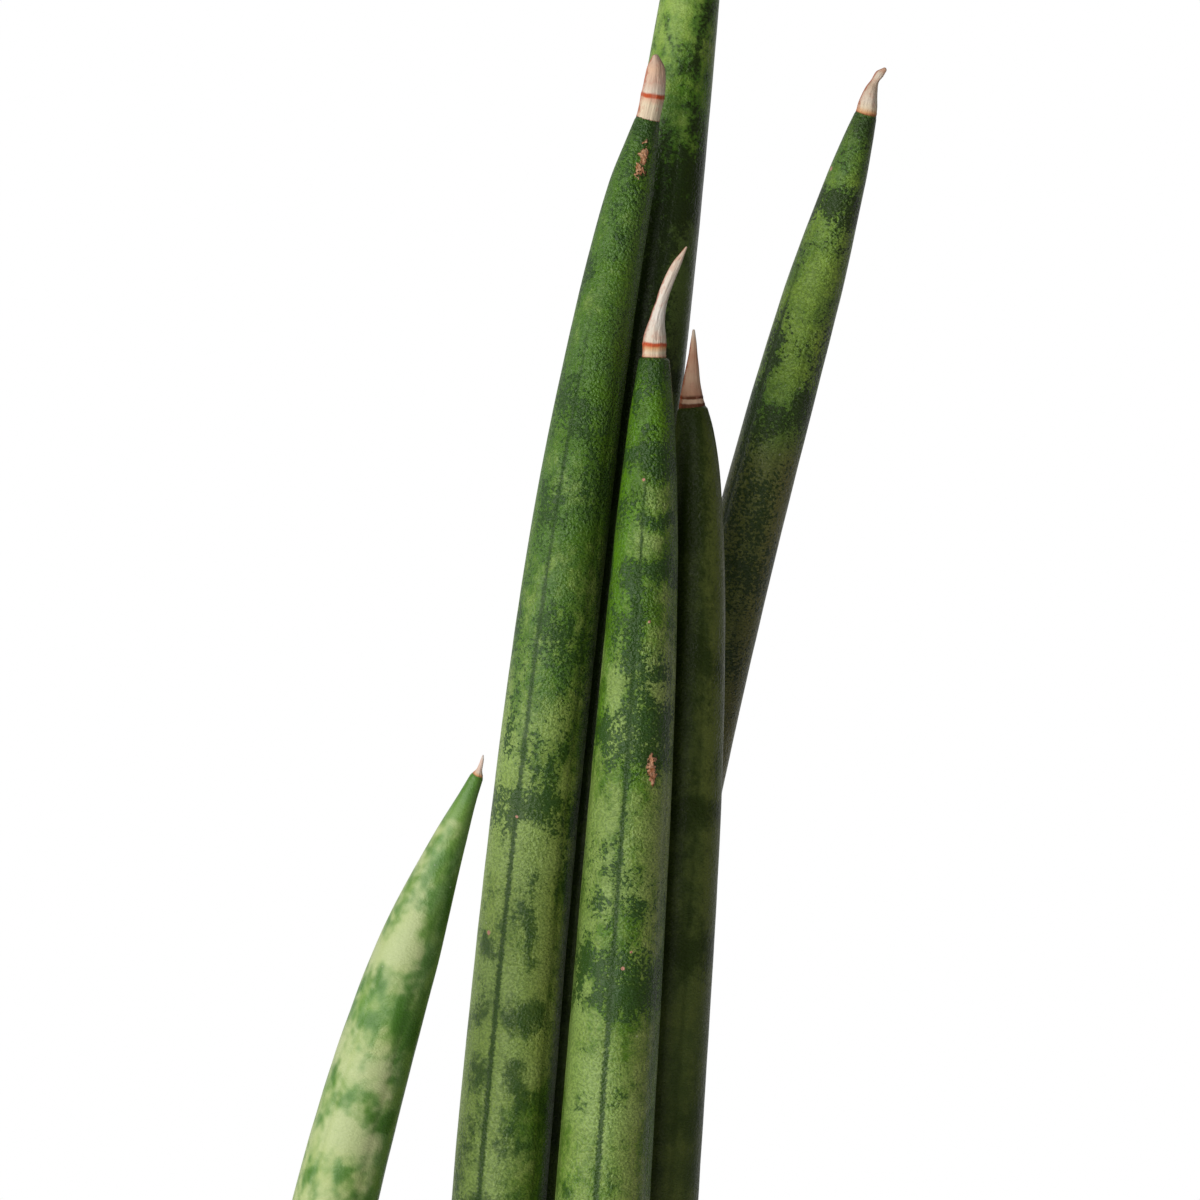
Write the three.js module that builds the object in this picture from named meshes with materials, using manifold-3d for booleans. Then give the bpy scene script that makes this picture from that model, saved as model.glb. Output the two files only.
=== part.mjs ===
// Potted cylindrical snake plant: six spear-like leaves on one rhizome, in soil, in a plain pot.
// Millimetres, +Z up. The origin is the centre of the pot's flat base, on the ground.
// The plant is seen from -Y: +X is to its right.

import * as THREE from "three";
import { mergeVertices } from "three/addons/utils/BufferGeometryUtils.js";
import Module from "manifold-3d";

const wasm = await Module();
wasm.setup();

// Pot
const potHeight = 124;
const potBaseRadius = 54;
const potTopRadius = 70;
const potWall = 5;
const potFloor = 7;
const rimHeight = 27;
const rimOverhang = 3.5;
const edgeRound = 1.8;
const floorRound = 4;
const roundSteps = 2;
const potSides = 44;

// Soil
const soilLevel = 110;
const soilLump = 1.3;
const soilSides = 36;
const soilRings = 9;

// Gaps between pieces that touch
const fitGap = 0.3;
const soilGap = 0.5;
const leafHoleGap = 0.7;

// Leaves
const leafSides = 20;
const leafRings = 23;
const ringCrowding = 1.35;
const furrowCount = 5;
const furrowDepth = 0.28;
const furrowFadeIn = 22;
const channelDepth = 0.2;
const channelHalfAngle = 0.5;
const channelLength = 110;
const footNarrowing = 0.14;
const footLength = 60;
const tipShoulder = 0.12;
const holeSides = 14;
const holeSteps = 3;
const holeAboveSoil = 10;

// Distances below the start of the dry tip at which each leaf's girth is given
const girthAt = [0, 5, 14, 40, 90, 200];

// Each leaf: the spine's four Bezier points from its foot to the start of the dry tip, its radius at each
// of the distances above, and the turn of its first furrow and of the channel at its base, in degrees
// from the front towards the right. The dry tip has three Bezier points measured from its start, and
// radii at even steps from its start to its point.
const leaves = [
  {
    name: "leaf_far_left",
    spine: [[-43, -18, 84], [-46, -27, 172], [-25.5, -25, 291], [7.5, -38, 364]],
    girth: [1.25, 1.85, 3.25, 6.45, 8.2, 8.6],
    furrow: -40,
    channel: 70,
    tip: [[0.3, -0.2, 0.9], [0.8, -0.4, 2.2], [1.1, -0.6, 3.9]],
    tipRadii: [1.05, 0.6, 0.42, 0.32, 0.15],
    color: 0x7d9f5c,
  },
  {
    name: "leaf_front_left",
    spine: [[-5, -10, 84], [8, -6, 214.5], [14.3, -8, 391.5], [40.4, -10, 490.3]],
    girth: [2.45, 3.2, 4.5, 5.95, 7.9, 9.45],
    furrow: -25,
    channel: 150,
    tip: [[1, -0.6, 4.3], [1.8, -1.2, 8.8], [1.4, -1.6, 12.6]],
    tipRadii: [2.35, 2.35, 2.4, 2.3, 2.1, 1.65, 0.8],
    color: 0x5c8242,
  },
  {
    name: "leaf_tall",
    spine: [[6, 11, 84], [16, 10.5, 250.5], [32.4, 8.4, 392.3], [53.7, 3, 550.7]],
    girth: [2.6, 3.3, 4.4, 6.1, 8.1, 9.8],
    furrow: 10,
    channel: -60,
    tip: [[0.9, 0, 4.3], [1.5, 0, 9], [1.6, 0, 13.5]],
    tipRadii: [2.4, 2.2, 1.9, 1.5, 1.05, 0.6, 0.25],
    color: 0x4c7434,
  },
  {
    name: "leaf_front_centre",
    spine: [[23, -12, 84], [23.5, -19, 209.3], [38.4, -19, 347.2], [41.6, -17, 443.7]],
    girth: [2.95, 3.6, 4.65, 6.45, 8.15, 9.9],
    furrow: -9,
    channel: 180,
    tip: [[0, -0.3, 8], [1.6, -1, 14], [6.3, -2, 21.6]],
    tipRadii: [2.35, 2.3, 1.5, 1.15, 1.05, 0.85, 0.2],
    color: 0x5f8745,
  },
  {
    name: "leaf_shaded",
    spine: [[35, 9, 84], [31, -1, 214.3], [55.2, -4, 383.9], [49.25, -5, 433.7]],
    girth: [2.95, 3.85, 4.75, 6.2, 8, 9.7],
    furrow: 20,
    channel: -110,
    tip: [[-0.3, -0.2, 4.5], [0.3, -0.4, 10], [0.3, -0.5, 15.4]],
    tipRadii: [2.5, 2.15, 1.7, 1.3, 0.9, 0.6, 0.25],
    color: 0x3c5a2c,
  },
  {
    name: "leaf_right",
    spine: [[6, 34, 84], [30, 32, 243], [36, 35, 330], [84.2, 6, 492]],
    girth: [2.2, 2.95, 4, 5.85, 6.9, 7.9],
    furrow: -55,
    channel: -20,
    tip: [[0.5, -0.4, 3], [1, -0.8, 7.2], [3.9, -1.2, 8.9]],
    tipRadii: [2.15, 2.05, 1.7, 1.3, 0.85, 0.9, 0.5],
    color: 0x4f7a38,
  },
];

// Rhizome: a stem under the front leaves, a branch from it to the leaves behind, and the first roots
const rhizomeStem = [
  [-49, -19, 73],
  [-43, -18, 71],
  [-20, -14, 69],
  [-5, -10, 70],
  [23, -12, 70],
  [35, 9, 71],
  [37, 15, 72],
];
const rhizomeBranch = [
  [2, -10, 70],
  [6, 11, 70],
  [6, 34, 70],
  [6, 41, 72],
];
const rootStarts = [
  [-43, -18, 68],
  [-24, -14, 66],
  [-5, -10, 66],
  [22, -12, 66],
  [34, 7, 67],
  [6, 12, 66],
  [6, 33, 66],
];
const rhizomeRadius = 7.5;
const rhizomeSides = 10;
const stemRings = 13;
const branchRings = 7;
const runnerEndPower = 8;
const scarHeight = 0.07;
const neckLength = 12;
const neckStep = 0.6;
const rootRadius = 1.6;
const rootSides = 5;
const rootRings = 4;
const rootSpread = 12;
const rootEndHeight = 26;
const rootTurn = 2.4;

// Directions that a bent form keeps facing
const sideways = new THREE.Vector3(1, 0, 0);
const upwards = new THREE.Vector3(0, 0, 1);

// Merges what a revolved form's seam and poles repeat, and drops the faces that this leaves with no area.
function weld(geometry) {
  geometry.deleteAttribute("normal");
  geometry.deleteAttribute("uv");
  const merged = mergeVertices(geometry, 1e-4);
  const index = merged.getIndex().array;
  const kept = [];
  for (let i = 0; i < index.length; i += 3) {
    const [a, b, c] = [index[i], index[i + 1], index[i + 2]];
    if (a !== b && b !== c && c !== a) {
      kept.push(a, b, c);
    }
  }
  merged.setIndex(kept);
  return merged;
}

function toSolid(geometry) {
  const vertProperties = new Float32Array(geometry.getAttribute("position").array);
  const triVerts = new Uint32Array(geometry.getIndex().array);
  return new wasm.Manifold(new wasm.Mesh({ numProp: 3, vertProperties, triVerts }));
}

function toGeometry(solid) {
  const mesh = solid.getMesh();
  const geometry = new THREE.BufferGeometry();
  geometry.setAttribute("position", new THREE.BufferAttribute(new Float32Array(mesh.vertProperties), 3));
  geometry.setIndex(new THREE.BufferAttribute(new Uint32Array(mesh.triVerts), 1));
  return geometry;
}

// A revolved solid, standing along +Y, from [radius, height] points that start and end on the axis.
function revolve(points, sides, turn = 0) {
  const profile = points.map(([radius, height]) => new THREE.Vector2(radius, height));
  return weld(new THREE.LatheGeometry(profile, sides, turn));
}

function moveVertices(geometry, move) {
  const position = geometry.getAttribute("position");
  const point = new THREE.Vector3();
  for (let i = 0; i < position.count; i += 1) {
    point.fromBufferAttribute(position, i);
    move(point);
    position.setXYZ(i, point.x, point.y, point.z);
  }
  return geometry;
}

// Lays a form that stands straight along +Y onto a spine. Its +X turns to lie nearest to across, and
// what is longer than the spine goes straight on at either end.
function bendAlong(geometry, spine, across) {
  const length = spine.getLength();
  return moveVertices(geometry, (point) => {
    const height = THREE.MathUtils.clamp(point.y, 0, length);
    const along = spine.getTangent(height / length);
    const side = across.clone().projectOnPlane(along).normalize();
    const front = new THREE.Vector3().crossVectors(side, along);
    const centre = spine.getPoint(height / length).addScaledVector(along, point.y - height);
    point.copy(centre.addScaledVector(side, point.x).addScaledVector(front, point.z));
  });
}

function bezier(points) {
  return new THREE.CubicBezierCurve3(...points.map((p) => new THREE.Vector3(...p)));
}

function leafSpine(leaf) {
  const spine = new THREE.CurvePath();
  const tipStart = leaf.spine[3];
  const offsets = [[0, 0, 0], ...leaf.tip];
  spine.add(bezier(leaf.spine));
  spine.add(bezier(offsets.map((offset) => offset.map((value, axis) => value + tipStart[axis]))));
  return spine;
}

// Value at x of the smooth curve through the points (xs, ys), with each slope taken from its neighbours.
function smoothThrough(xs, ys, x) {
  const last = xs.length - 1;
  const slopeAt = (k) => {
    const before = Math.max(k - 1, 0);
    const after = Math.min(k + 1, last);
    return (ys[after] - ys[before]) / (xs[after] - xs[before]);
  };
  if (x >= xs[last]) {
    return ys[last];
  }
  const next = xs.findIndex((value) => value > x);
  const span = xs[next] - xs[next - 1];
  const t = (x - xs[next - 1]) / span;
  const rise = t * t * (3 - 2 * t);
  const value = THREE.MathUtils.lerp(ys[next - 1], ys[next], rise);
  return value + span * t * (1 - t) * ((1 - t) * slopeAt(next - 1) - t * slopeAt(next));
}

// The green part's radius at a height along the leaf, before furrows: slim at the tip, full lower
// down, and a little slimmer again at the foot.
function leafRadius(leaf, height, bodyLength) {
  const girth = smoothThrough(girthAt, leaf.girth, Math.max(bodyLength - height, 0));
  const foot = 1 - THREE.MathUtils.smoothstep(height, 0, footLength);
  return girth * (1 - footNarrowing * foot);
}

// Profile points of the green part. The rings lie closer together towards the tip.
function bodyProfile(leaf, bodyLength) {
  const points = [];
  for (let ring = 0; ring <= leafRings; ring += 1) {
    const height = bodyLength * (1 - (1 - ring / leafRings) ** ringCrowding);
    points.push([leafRadius(leaf, height, bodyLength), height]);
  }
  return points;
}

// Profile points of the dry tip, from a small shoulder on the green part to a blunted point.
function tipProfile(leaf, bodyLength, tipLength) {
  const steps = leaf.tipRadii.length - 1;
  return leaf.tipRadii.map((radius, step) => {
    const height = step === steps ? tipLength - radius : (tipLength * step) / steps;
    return [radius, bodyLength + Math.max(height, tipShoulder)];
  });
}

// Furrows run up the leaf and fade out before the tip. The channel is a wide hollow on the side of the
// leaf that faced the others as it grew, deepest at the foot.
function addFurrows(geometry, leaf, bodyLength) {
  const turn = THREE.MathUtils.degToRad(leaf.furrow);
  const channelTurn = THREE.MathUtils.degToRad(leaf.channel);
  return moveVertices(geometry, (point) => {
    const radius = Math.hypot(point.x, point.z);
    if (radius < 0.01) {
      return;
    }
    const angle = Math.atan2(point.x, point.z);
    const belowTip = bodyLength - point.y;
    const fadeIn = THREE.MathUtils.smoothstep(belowTip, furrowFadeIn, 3 * furrowFadeIn);
    const furrow = Math.max(Math.cos(furrowCount * (angle - turn)), 0) ** 3;
    const offset = Math.atan2(Math.sin(angle - channelTurn), Math.cos(angle - channelTurn));
    const channel = Math.exp(-((offset / channelHalfAngle) ** 2));
    const fadeOut = 1 - THREE.MathUtils.smoothstep(point.y, footLength / 2, channelLength);
    const shrink = 1 - (furrowDepth * fadeIn * furrow) / radius - channelDepth * fadeOut * channel;
    point.x *= shrink;
    point.z *= shrink;
  });
}

function makeLeaf(leaf) {
  const spine = leafSpine(leaf);
  const [bodyLength, tipLength] = spine.curves.map((curve) => curve.getLength());
  const profile = [
    [0, 0],
    ...bodyProfile(leaf, bodyLength),
    ...tipProfile(leaf, bodyLength, tipLength),
    [0, bodyLength + tipLength],
  ];
  const geometry = revolve(profile, leafSides, THREE.MathUtils.degToRad(leaf.furrow));
  addFurrows(geometry, leaf, bodyLength);
  return bendAlong(geometry, spine, sideways);
}

// The plain round hole that a leaf stands in: the leaf's own outline, wider all round.
function makeLeafHole(leaf) {
  const spine = leafSpine(leaf);
  const bodyLength = spine.curves[0].getLength();
  const holeTop = soilLevel - leaf.spine[0][2] + holeAboveSoil;
  const points = [[0, -leafHoleGap]];
  for (let step = 0; step <= holeSteps; step += 1) {
    const height = THREE.MathUtils.lerp(-leafHoleGap, holeTop, step / holeSteps);
    points.push([leafRadius(leaf, height, bodyLength) + leafHoleGap, height]);
  }
  points.push([0, holeTop]);
  return toSolid(bendAlong(revolve(points, holeSides), spine, sideways));
}

// Radius of the pot's tapered outer wall at a height, without the rim band.
function wallRadius(height) {
  return THREE.MathUtils.lerp(potBaseRadius, potTopRadius, height / potHeight);
}

function makePot() {
  const rimBottom = potHeight - rimHeight;
  const rimRadius = potTopRadius + rimOverhang;
  const mouthRadius = wallRadius(potHeight) - potWall;
  const innerWall = (height) => wallRadius(height) - potWall;
  const outline = new THREE.Path();
  outline.moveTo(0, 0);
  outline.lineTo(potBaseRadius - edgeRound, 0);
  outline.quadraticCurveTo(potBaseRadius, 0, wallRadius(edgeRound), edgeRound);
  outline.lineTo(wallRadius(rimBottom), rimBottom);
  outline.lineTo(rimRadius - edgeRound, rimBottom);
  outline.quadraticCurveTo(rimRadius, rimBottom, rimRadius, rimBottom + edgeRound);
  outline.lineTo(rimRadius, potHeight - edgeRound);
  outline.quadraticCurveTo(rimRadius, potHeight, rimRadius - edgeRound, potHeight);
  outline.lineTo(mouthRadius + edgeRound, potHeight);
  outline.quadraticCurveTo(mouthRadius, potHeight, innerWall(potHeight - edgeRound), potHeight - edgeRound);
  outline.lineTo(innerWall(potFloor + floorRound), potFloor + floorRound);
  outline.quadraticCurveTo(innerWall(potFloor), potFloor, innerWall(potFloor) - floorRound, potFloor);
  outline.lineTo(0, potFloor);
  const points = outline.getPoints(roundSteps).map((point) => point.toArray());
  return revolve(points, potSides).rotateX(Math.PI / 2);
}

// Low lumps in the soil's surface, from a few crossing waves.
function soilHeight(x, y) {
  const coarse = Math.sin(x * 0.31 + 1.3) * Math.cos(y * 0.27 - 0.4);
  const fine = Math.sin(x * 0.73 - y * 0.55) * Math.cos(y * 0.81 + x * 0.22 + 2);
  return soilLump * (0.6 * coarse + 0.4 * fine);
}

// A body that follows the inside of the pot up to the soil's level, with its surface lumpy.
function makeSoilBody() {
  const side = (height) => wallRadius(height) - potWall - fitGap;
  const bottom = potFloor + fitGap;
  const points = [
    [0, bottom],
    [side(bottom) - floorRound, bottom],
    [side(bottom + floorRound), bottom + floorRound],
  ];
  for (let ring = soilRings; ring >= 0; ring -= 1) {
    points.push([(side(soilLevel) * ring) / soilRings, soilLevel]);
  }
  const geometry = revolve(points, soilSides).rotateX(Math.PI / 2);
  return moveVertices(geometry, (point) => {
    const inward = side(soilLevel) - Math.hypot(point.x, point.y);
    if (point.z > soilLevel - soilLump && inward > soilLump) {
      point.z += soilHeight(point.x, point.y);
    }
  });
}

// A round runner through points, with low rings round it where scale leaves were. Grown by a margin, it
// is the space that the runner takes up in the soil.
function makeRunner(points, radius, sides, rings, facing, margin) {
  const spine = new THREE.CurvePath();
  spine.add(new THREE.CatmullRomCurve3(points.map((p) => new THREE.Vector3(...p))));
  const length = spine.getLength();
  const profile = [[0, -margin]];
  for (let ring = 0; ring <= rings; ring += 1) {
    const t = (2 * ring) / rings - 1;
    const roundEnds = Math.sqrt(1 - 0.75 * Math.abs(t) ** runnerEndPower);
    const scar = (ring % 2) * scarHeight;
    const overshoot = margin * Math.trunc(t);
    profile.push([radius * (roundEnds + scar) + margin, (length * ring) / rings + overshoot]);
  }
  profile.push([0, length + margin]);
  return toSolid(bendAlong(revolve(profile, sides), spine, facing));
}

// The short neck on the rhizome under a leaf, square to the leaf's foot and just clear of it.
function makeNeck(leaf, margin) {
  const foot = leafSpine(leaf);
  const along = foot.getTangent(0);
  const top = foot.getPoint(0).addScaledVector(along, -fitGap);
  const spine = new THREE.CurvePath();
  spine.add(new THREE.LineCurve3(top.clone().addScaledVector(along, -neckLength), top));
  const topRadius = leafRadius(leaf, 0, foot.curves[0].getLength()) - neckStep;
  const points = [
    [0, -margin],
    [topRadius + 2 * neckStep + margin, -margin],
    [topRadius + neckStep + margin, neckLength / 2],
    [topRadius + margin, neckLength + margin],
    [0, neckLength + margin],
  ];
  return toSolid(bendAlong(revolve(points, rhizomeSides), spine, sideways));
}

// A root drops from a point of the rhizome and wanders outwards in its own direction.
function makeRoot(start, turn, margin) {
  const reach = new THREE.Vector2(Math.cos(turn), Math.sin(turn)).multiplyScalar(rootSpread);
  const end = [start[0] * 0.7 + reach.x, start[1] * 0.7 + reach.y, rootEndHeight];
  const middle = [start[0] * 0.9 + reach.x * 0.7, start[1] * 0.9 + reach.y * 0.7, start[2] * 0.75];
  return makeRunner([start, middle, end], rootRadius, rootSides, rootRings, sideways, margin);
}

function makeRhizome(margin) {
  const stem = makeRunner(rhizomeStem, rhizomeRadius, rhizomeSides, stemRings, upwards, margin);
  const branch = makeRunner(rhizomeBranch, rhizomeRadius, rhizomeSides, branchRings, upwards, margin);
  let rhizome = stem.add(branch);
  for (const leaf of leaves) {
    rhizome = rhizome.add(makeNeck(leaf, margin));
  }
  for (const [index, start] of rootStarts.entries()) {
    rhizome = rhizome.add(makeRoot(start, index * rootTurn, margin));
  }
  return rhizome;
}

function makeSoil() {
  let soil = toSolid(makeSoilBody());
  for (const leaf of leaves) {
    soil = soil.subtract(makeLeafHole(leaf));
  }
  return toGeometry(soil.subtract(makeRhizome(soilGap)));
}

const group = new THREE.Group();

function addPiece(name, geometry, color, roughness) {
  const material = new THREE.MeshStandardMaterial({ color, roughness, metalness: 0 });
  const mesh = new THREE.Mesh(geometry, material);
  mesh.name = name;
  group.add(mesh);
}

addPiece("pot", makePot(), 0xb5694a, 0.85);
addPiece("soil", makeSoil(), 0x3a2a1f, 0.95);
addPiece("rhizome", toGeometry(makeRhizome(0)), 0xc9955a, 0.7);
for (const leaf of leaves) {
  addPiece(leaf.name, makeLeaf(leaf), leaf.color, 0.5);
}

export default group;
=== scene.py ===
import math
import random
from types import SimpleNamespace

import bmesh
import bpy
from mathutils import Matrix, Vector, noise
from mathutils.geometry import interpolate_bezier


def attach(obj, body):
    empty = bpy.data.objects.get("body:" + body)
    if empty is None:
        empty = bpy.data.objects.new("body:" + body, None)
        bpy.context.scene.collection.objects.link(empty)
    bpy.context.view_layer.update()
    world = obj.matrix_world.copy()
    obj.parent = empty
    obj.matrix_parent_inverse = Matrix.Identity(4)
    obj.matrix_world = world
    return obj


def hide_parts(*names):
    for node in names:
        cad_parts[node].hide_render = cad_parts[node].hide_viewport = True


# Potted cylindrical snake plant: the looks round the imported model. Metres, +Z up, seen from -Y.
# The plant's and the pot's measures are in millimetres, as read off a ruler, and mm makes them metres.

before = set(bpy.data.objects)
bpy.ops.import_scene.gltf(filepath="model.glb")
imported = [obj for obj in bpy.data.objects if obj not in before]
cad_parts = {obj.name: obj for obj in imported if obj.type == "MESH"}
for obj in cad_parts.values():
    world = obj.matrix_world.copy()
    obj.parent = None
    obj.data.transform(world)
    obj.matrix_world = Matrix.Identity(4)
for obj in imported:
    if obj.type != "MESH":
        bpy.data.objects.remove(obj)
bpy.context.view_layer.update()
mm = 0.001
print("frame loaded:", sorted(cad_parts))

cameraSet = {
    "lens": 135,
    "pitch": 4,             # degrees downwards
    "distance": 900,
    "target": (31, 0, 395),
    "clip": (0.01, 50),     # metres
}

camera = bpy.data.objects.new("camera", bpy.data.cameras.new("camera"))
bpy.context.scene.collection.objects.link(camera)
bpy.context.scene.camera = camera
cameraPitch = math.radians(cameraSet["pitch"])
cameraBack = Vector((0, -math.cos(cameraPitch), math.sin(cameraPitch))) * cameraSet["distance"]
camera.data.lens = cameraSet["lens"]
camera.data.clip_start, camera.data.clip_end = cameraSet["clip"]
camera.location = (Vector(cameraSet["target"]) + cameraBack) * mm
camera.rotation_euler = (math.radians(90) - cameraPitch, 0, 0)
print("camera placed")


# Small helpers for colours and node trees

def tone(hexCode):
    # a paint colour such as "8fa565", as the linear values that a shader takes
    values = [int(hexCode[i:i + 2], 16) / 255 for i in (0, 2, 4)]
    return tuple(v / 12.92 if v <= 0.04045 else ((v + 0.055) / 1.055) ** 2.4 for v in values) + (1,)


def addNode(tree, kind, inputs=None, **settings):
    node = tree.nodes.new(kind)
    for name, value in settings.items():
        setattr(node, name, value)
    for socket, value in (inputs or {}).items():
        if isinstance(value, bpy.types.NodeSocket):
            tree.links.new(value, node.inputs[socket])
        else:
            node.inputs[socket].default_value = value
    return node


def calc(tree, operation, *values):
    return addNode(tree, "ShaderNodeMath", dict(enumerate(values)), operation=operation).outputs[0]


def rise(tree, value, low, high, start=0.0, end=1.0, kind="SMOOTHSTEP"):
    # a value that goes from start to end while another goes from low to high
    limits = {"Value": value, "From Min": low, "From Max": high, "To Min": start, "To Max": end}
    return addNode(tree, "ShaderNodeMapRange", limits, interpolation_type=kind).outputs[0]


def swing(tree, value, share):
    # noise that lies round 0.5, moved to lie round 0 and made stronger or weaker
    return calc(tree, "MULTIPLY", calc(tree, "SUBTRACT", value, 0.5), share)


def blendColors(tree, factor, first, second, mode="MIX"):
    inputs = {0: factor, 6: first, 7: second}
    return addNode(tree, "ShaderNodeMix", inputs, data_type="RGBA", blend_type=mode).outputs[2]


def blendValues(tree, factor, first, second):
    return addNode(tree, "ShaderNodeMix", {0: factor, 2: first, 3: second}, data_type="FLOAT").outputs[0]


def paintOver(tree, color, *coats):
    # a colour with paints over it, each by its own share
    for share, paint in coats:
        color = blendColors(tree, share, color, tone(paint))
    return color


def twoTone(tree, value, edges, paints):
    # from the first paint to the second while a value passes between two edges
    return blendColors(tree, rise(tree, value, *edges), tone(paints[0]), tone(paints[1]))


def mottle(tree, vector, scale, detail=2.0, roughness=0.5, stretch=(1, 1, 1)):
    # noise round 0.5, with its grains made longer or shorter along each axis
    mapped = addNode(tree, "ShaderNodeMapping", {"Vector": vector, "Scale": stretch})
    inputs = {"Vector": mapped.outputs[0], "Scale": scale, "Detail": detail, "Roughness": roughness}
    return addNode(tree, "ShaderNodeTexNoise", inputs).outputs[0]


def newGroup(name, inputs, outputs):
    group = bpy.data.node_groups.new(name, "ShaderNodeTree")
    for label, kind, value in inputs:
        socket = group.interface.new_socket(name=label, in_out="INPUT", socket_type="NodeSocket" + kind)
        if value is not None:
            socket.default_value = value
    for label in outputs:
        group.interface.new_socket(name=label, in_out="OUTPUT", socket_type="NodeSocketFloat")
    return group, group.nodes.new("NodeGroupInput").outputs, group.nodes.new("NodeGroupOutput").inputs


def putOut(group, put, **values):
    # links each value to the group's output of the same name
    for label, value in values.items():
        group.links.new(value, put[label])


def useGroup(tree, group, **inputs):
    return addNode(tree, "ShaderNodeGroup", inputs, node_tree=group).outputs


def newMaterial(name):
    material = bpy.data.materials.new(name)
    material.use_nodes = True
    return material, material.node_tree


def dress(tree, color, roughness, height, relief):
    # puts the finished colour, roughness and bump on the shader; relief is the bump's depth and strength
    bump = addNode(tree, "ShaderNodeBump", {"Height": height, "Distance": relief[0], "Strength": relief[1]})
    shader = tree.nodes["Principled BSDF"].inputs
    tree.links.new(color, shader["Base Color"])
    tree.links.new(roughness, shader["Roughness"])
    tree.links.new(bump.outputs[0], shader["Normal"])


# Small helpers for meshes

def toObject(name, bm, materials):
    mesh = bpy.data.meshes.new(name)
    bm.to_mesh(mesh)
    bm.free()
    for material in materials:
        mesh.materials.append(material)
    piece = bpy.data.objects.new(name, mesh)
    bpy.context.scene.collection.objects.link(piece)
    return piece


def seal(bm):
    # closes seams and poles, and leaves the faces outwards and smooth
    bmesh.ops.remove_doubles(bm, verts=bm.verts, dist=1e-6)
    bmesh.ops.recalc_face_normals(bm, faces=bm.faces)
    for face in bm.faces:
        face.smooth = True


def drawOutline(bm, points):
    # a chain of edges through points given as radius and height
    outline = [bm.verts.new((radius * mm, 0, height * mm)) for radius, height in points]
    for pair in zip(outline, outline[1:]):
        bm.edges.new(pair)
    return outline


def turnOutline(bm, sides):
    bmesh.ops.spin(bm, geom=bm.verts[:] + bm.edges[:], cent=(0, 0, 0), axis=(0, 0, 1), dvec=(0, 0, 0),
                   angle=math.tau, steps=sides, use_merge=True, use_duplicate=False)
    seal(bm)


# Effects that several materials share

def makeSkinGrain():
    # the fine pebbled skin of a leaf, with short wrinkles across it, and a few pinprick flecks
    group, given, put = newGroup("skinGrain", [("Place", "Vector", None), ("Across", "Float", 1.0)],
                                 ["Height", "Grain", "Fleck"])
    grain = mottle(group, given["Place"], 1.8, 1.0, 0.5, (1, 1, 1.15))
    wrinkle = mottle(group, given["Place"], 1.5, 1.5, 0.6, (1, 1, 2))
    slow = mottle(group, given["Place"], 0.09, 2.0)
    share = calc(group, "MULTIPLY", given["Across"], rise(group, slow, 0.38, 0.62))
    cells = addNode(group, "ShaderNodeTexVoronoi", {"Vector": given["Place"], "Scale": 0.16})
    putOut(group, put, Height=blendValues(group, share, grain, wrinkle), Grain=grain,
           Fleck=calc(group, "LESS_THAN", cells.outputs["Distance"], 0.035))
    return group


def makeSpot():
    # a small round spot with a ragged edge, at a place on the leaf
    group, given, put = newGroup("spot", [("Place", "Vector", None), ("Centre", "Vector", None),
                                          ("Radius", "Float", 0.5)], ["Mask"])
    apart = addNode(group, "ShaderNodeVectorMath", {0: given["Place"], 1: given["Centre"]},
                    operation="DISTANCE")
    ragged = mottle(group, given["Place"], 1.6, 1.0)
    reach = calc(group, "ADD", calc(group, "DIVIDE", apart.outputs["Value"], given["Radius"]), ragged)
    putOut(group, put, Mask=rise(group, reach, 1.2, 1.6, 1.0, 0.0))
    return group


def makeDust():
    # cloudy patches and pits of an earthy surface, in metres
    group, given, put = newGroup("dust", [("Place", "Vector", None), ("Size", "Float", 1.0)],
                                 ["Clouds", "Pits", "Fine"])
    scaled = addNode(group, "ShaderNodeVectorMath", {0: given["Place"], 3: given["Size"]},
                     operation="SCALE").outputs[0]
    cells = addNode(group, "ShaderNodeTexVoronoi", {"Vector": scaled, "Scale": 420})
    putOut(group, put, Clouds=mottle(group, scaled, 28, 4.0, 0.6),
           Pits=rise(group, cells.outputs["Distance"], 0.08, 0.3, 1.0, 0.0),
           Fine=mottle(group, scaled, 900, 3.0, 0.65))
    return group


skinGrain = makeSkinGrain()
spot = makeSpot()
dust = makeDust()
print("shared effects made")


def newDusty(name, size):
    # a material on Object coordinates with the dust effect, made finer by size
    material, tree = newMaterial(name)
    place = addNode(tree, "ShaderNodeTexCoord").outputs["Object"]
    return material, tree, place, useGroup(tree, dust, Place=place, Size=size)


# Leaves

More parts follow.
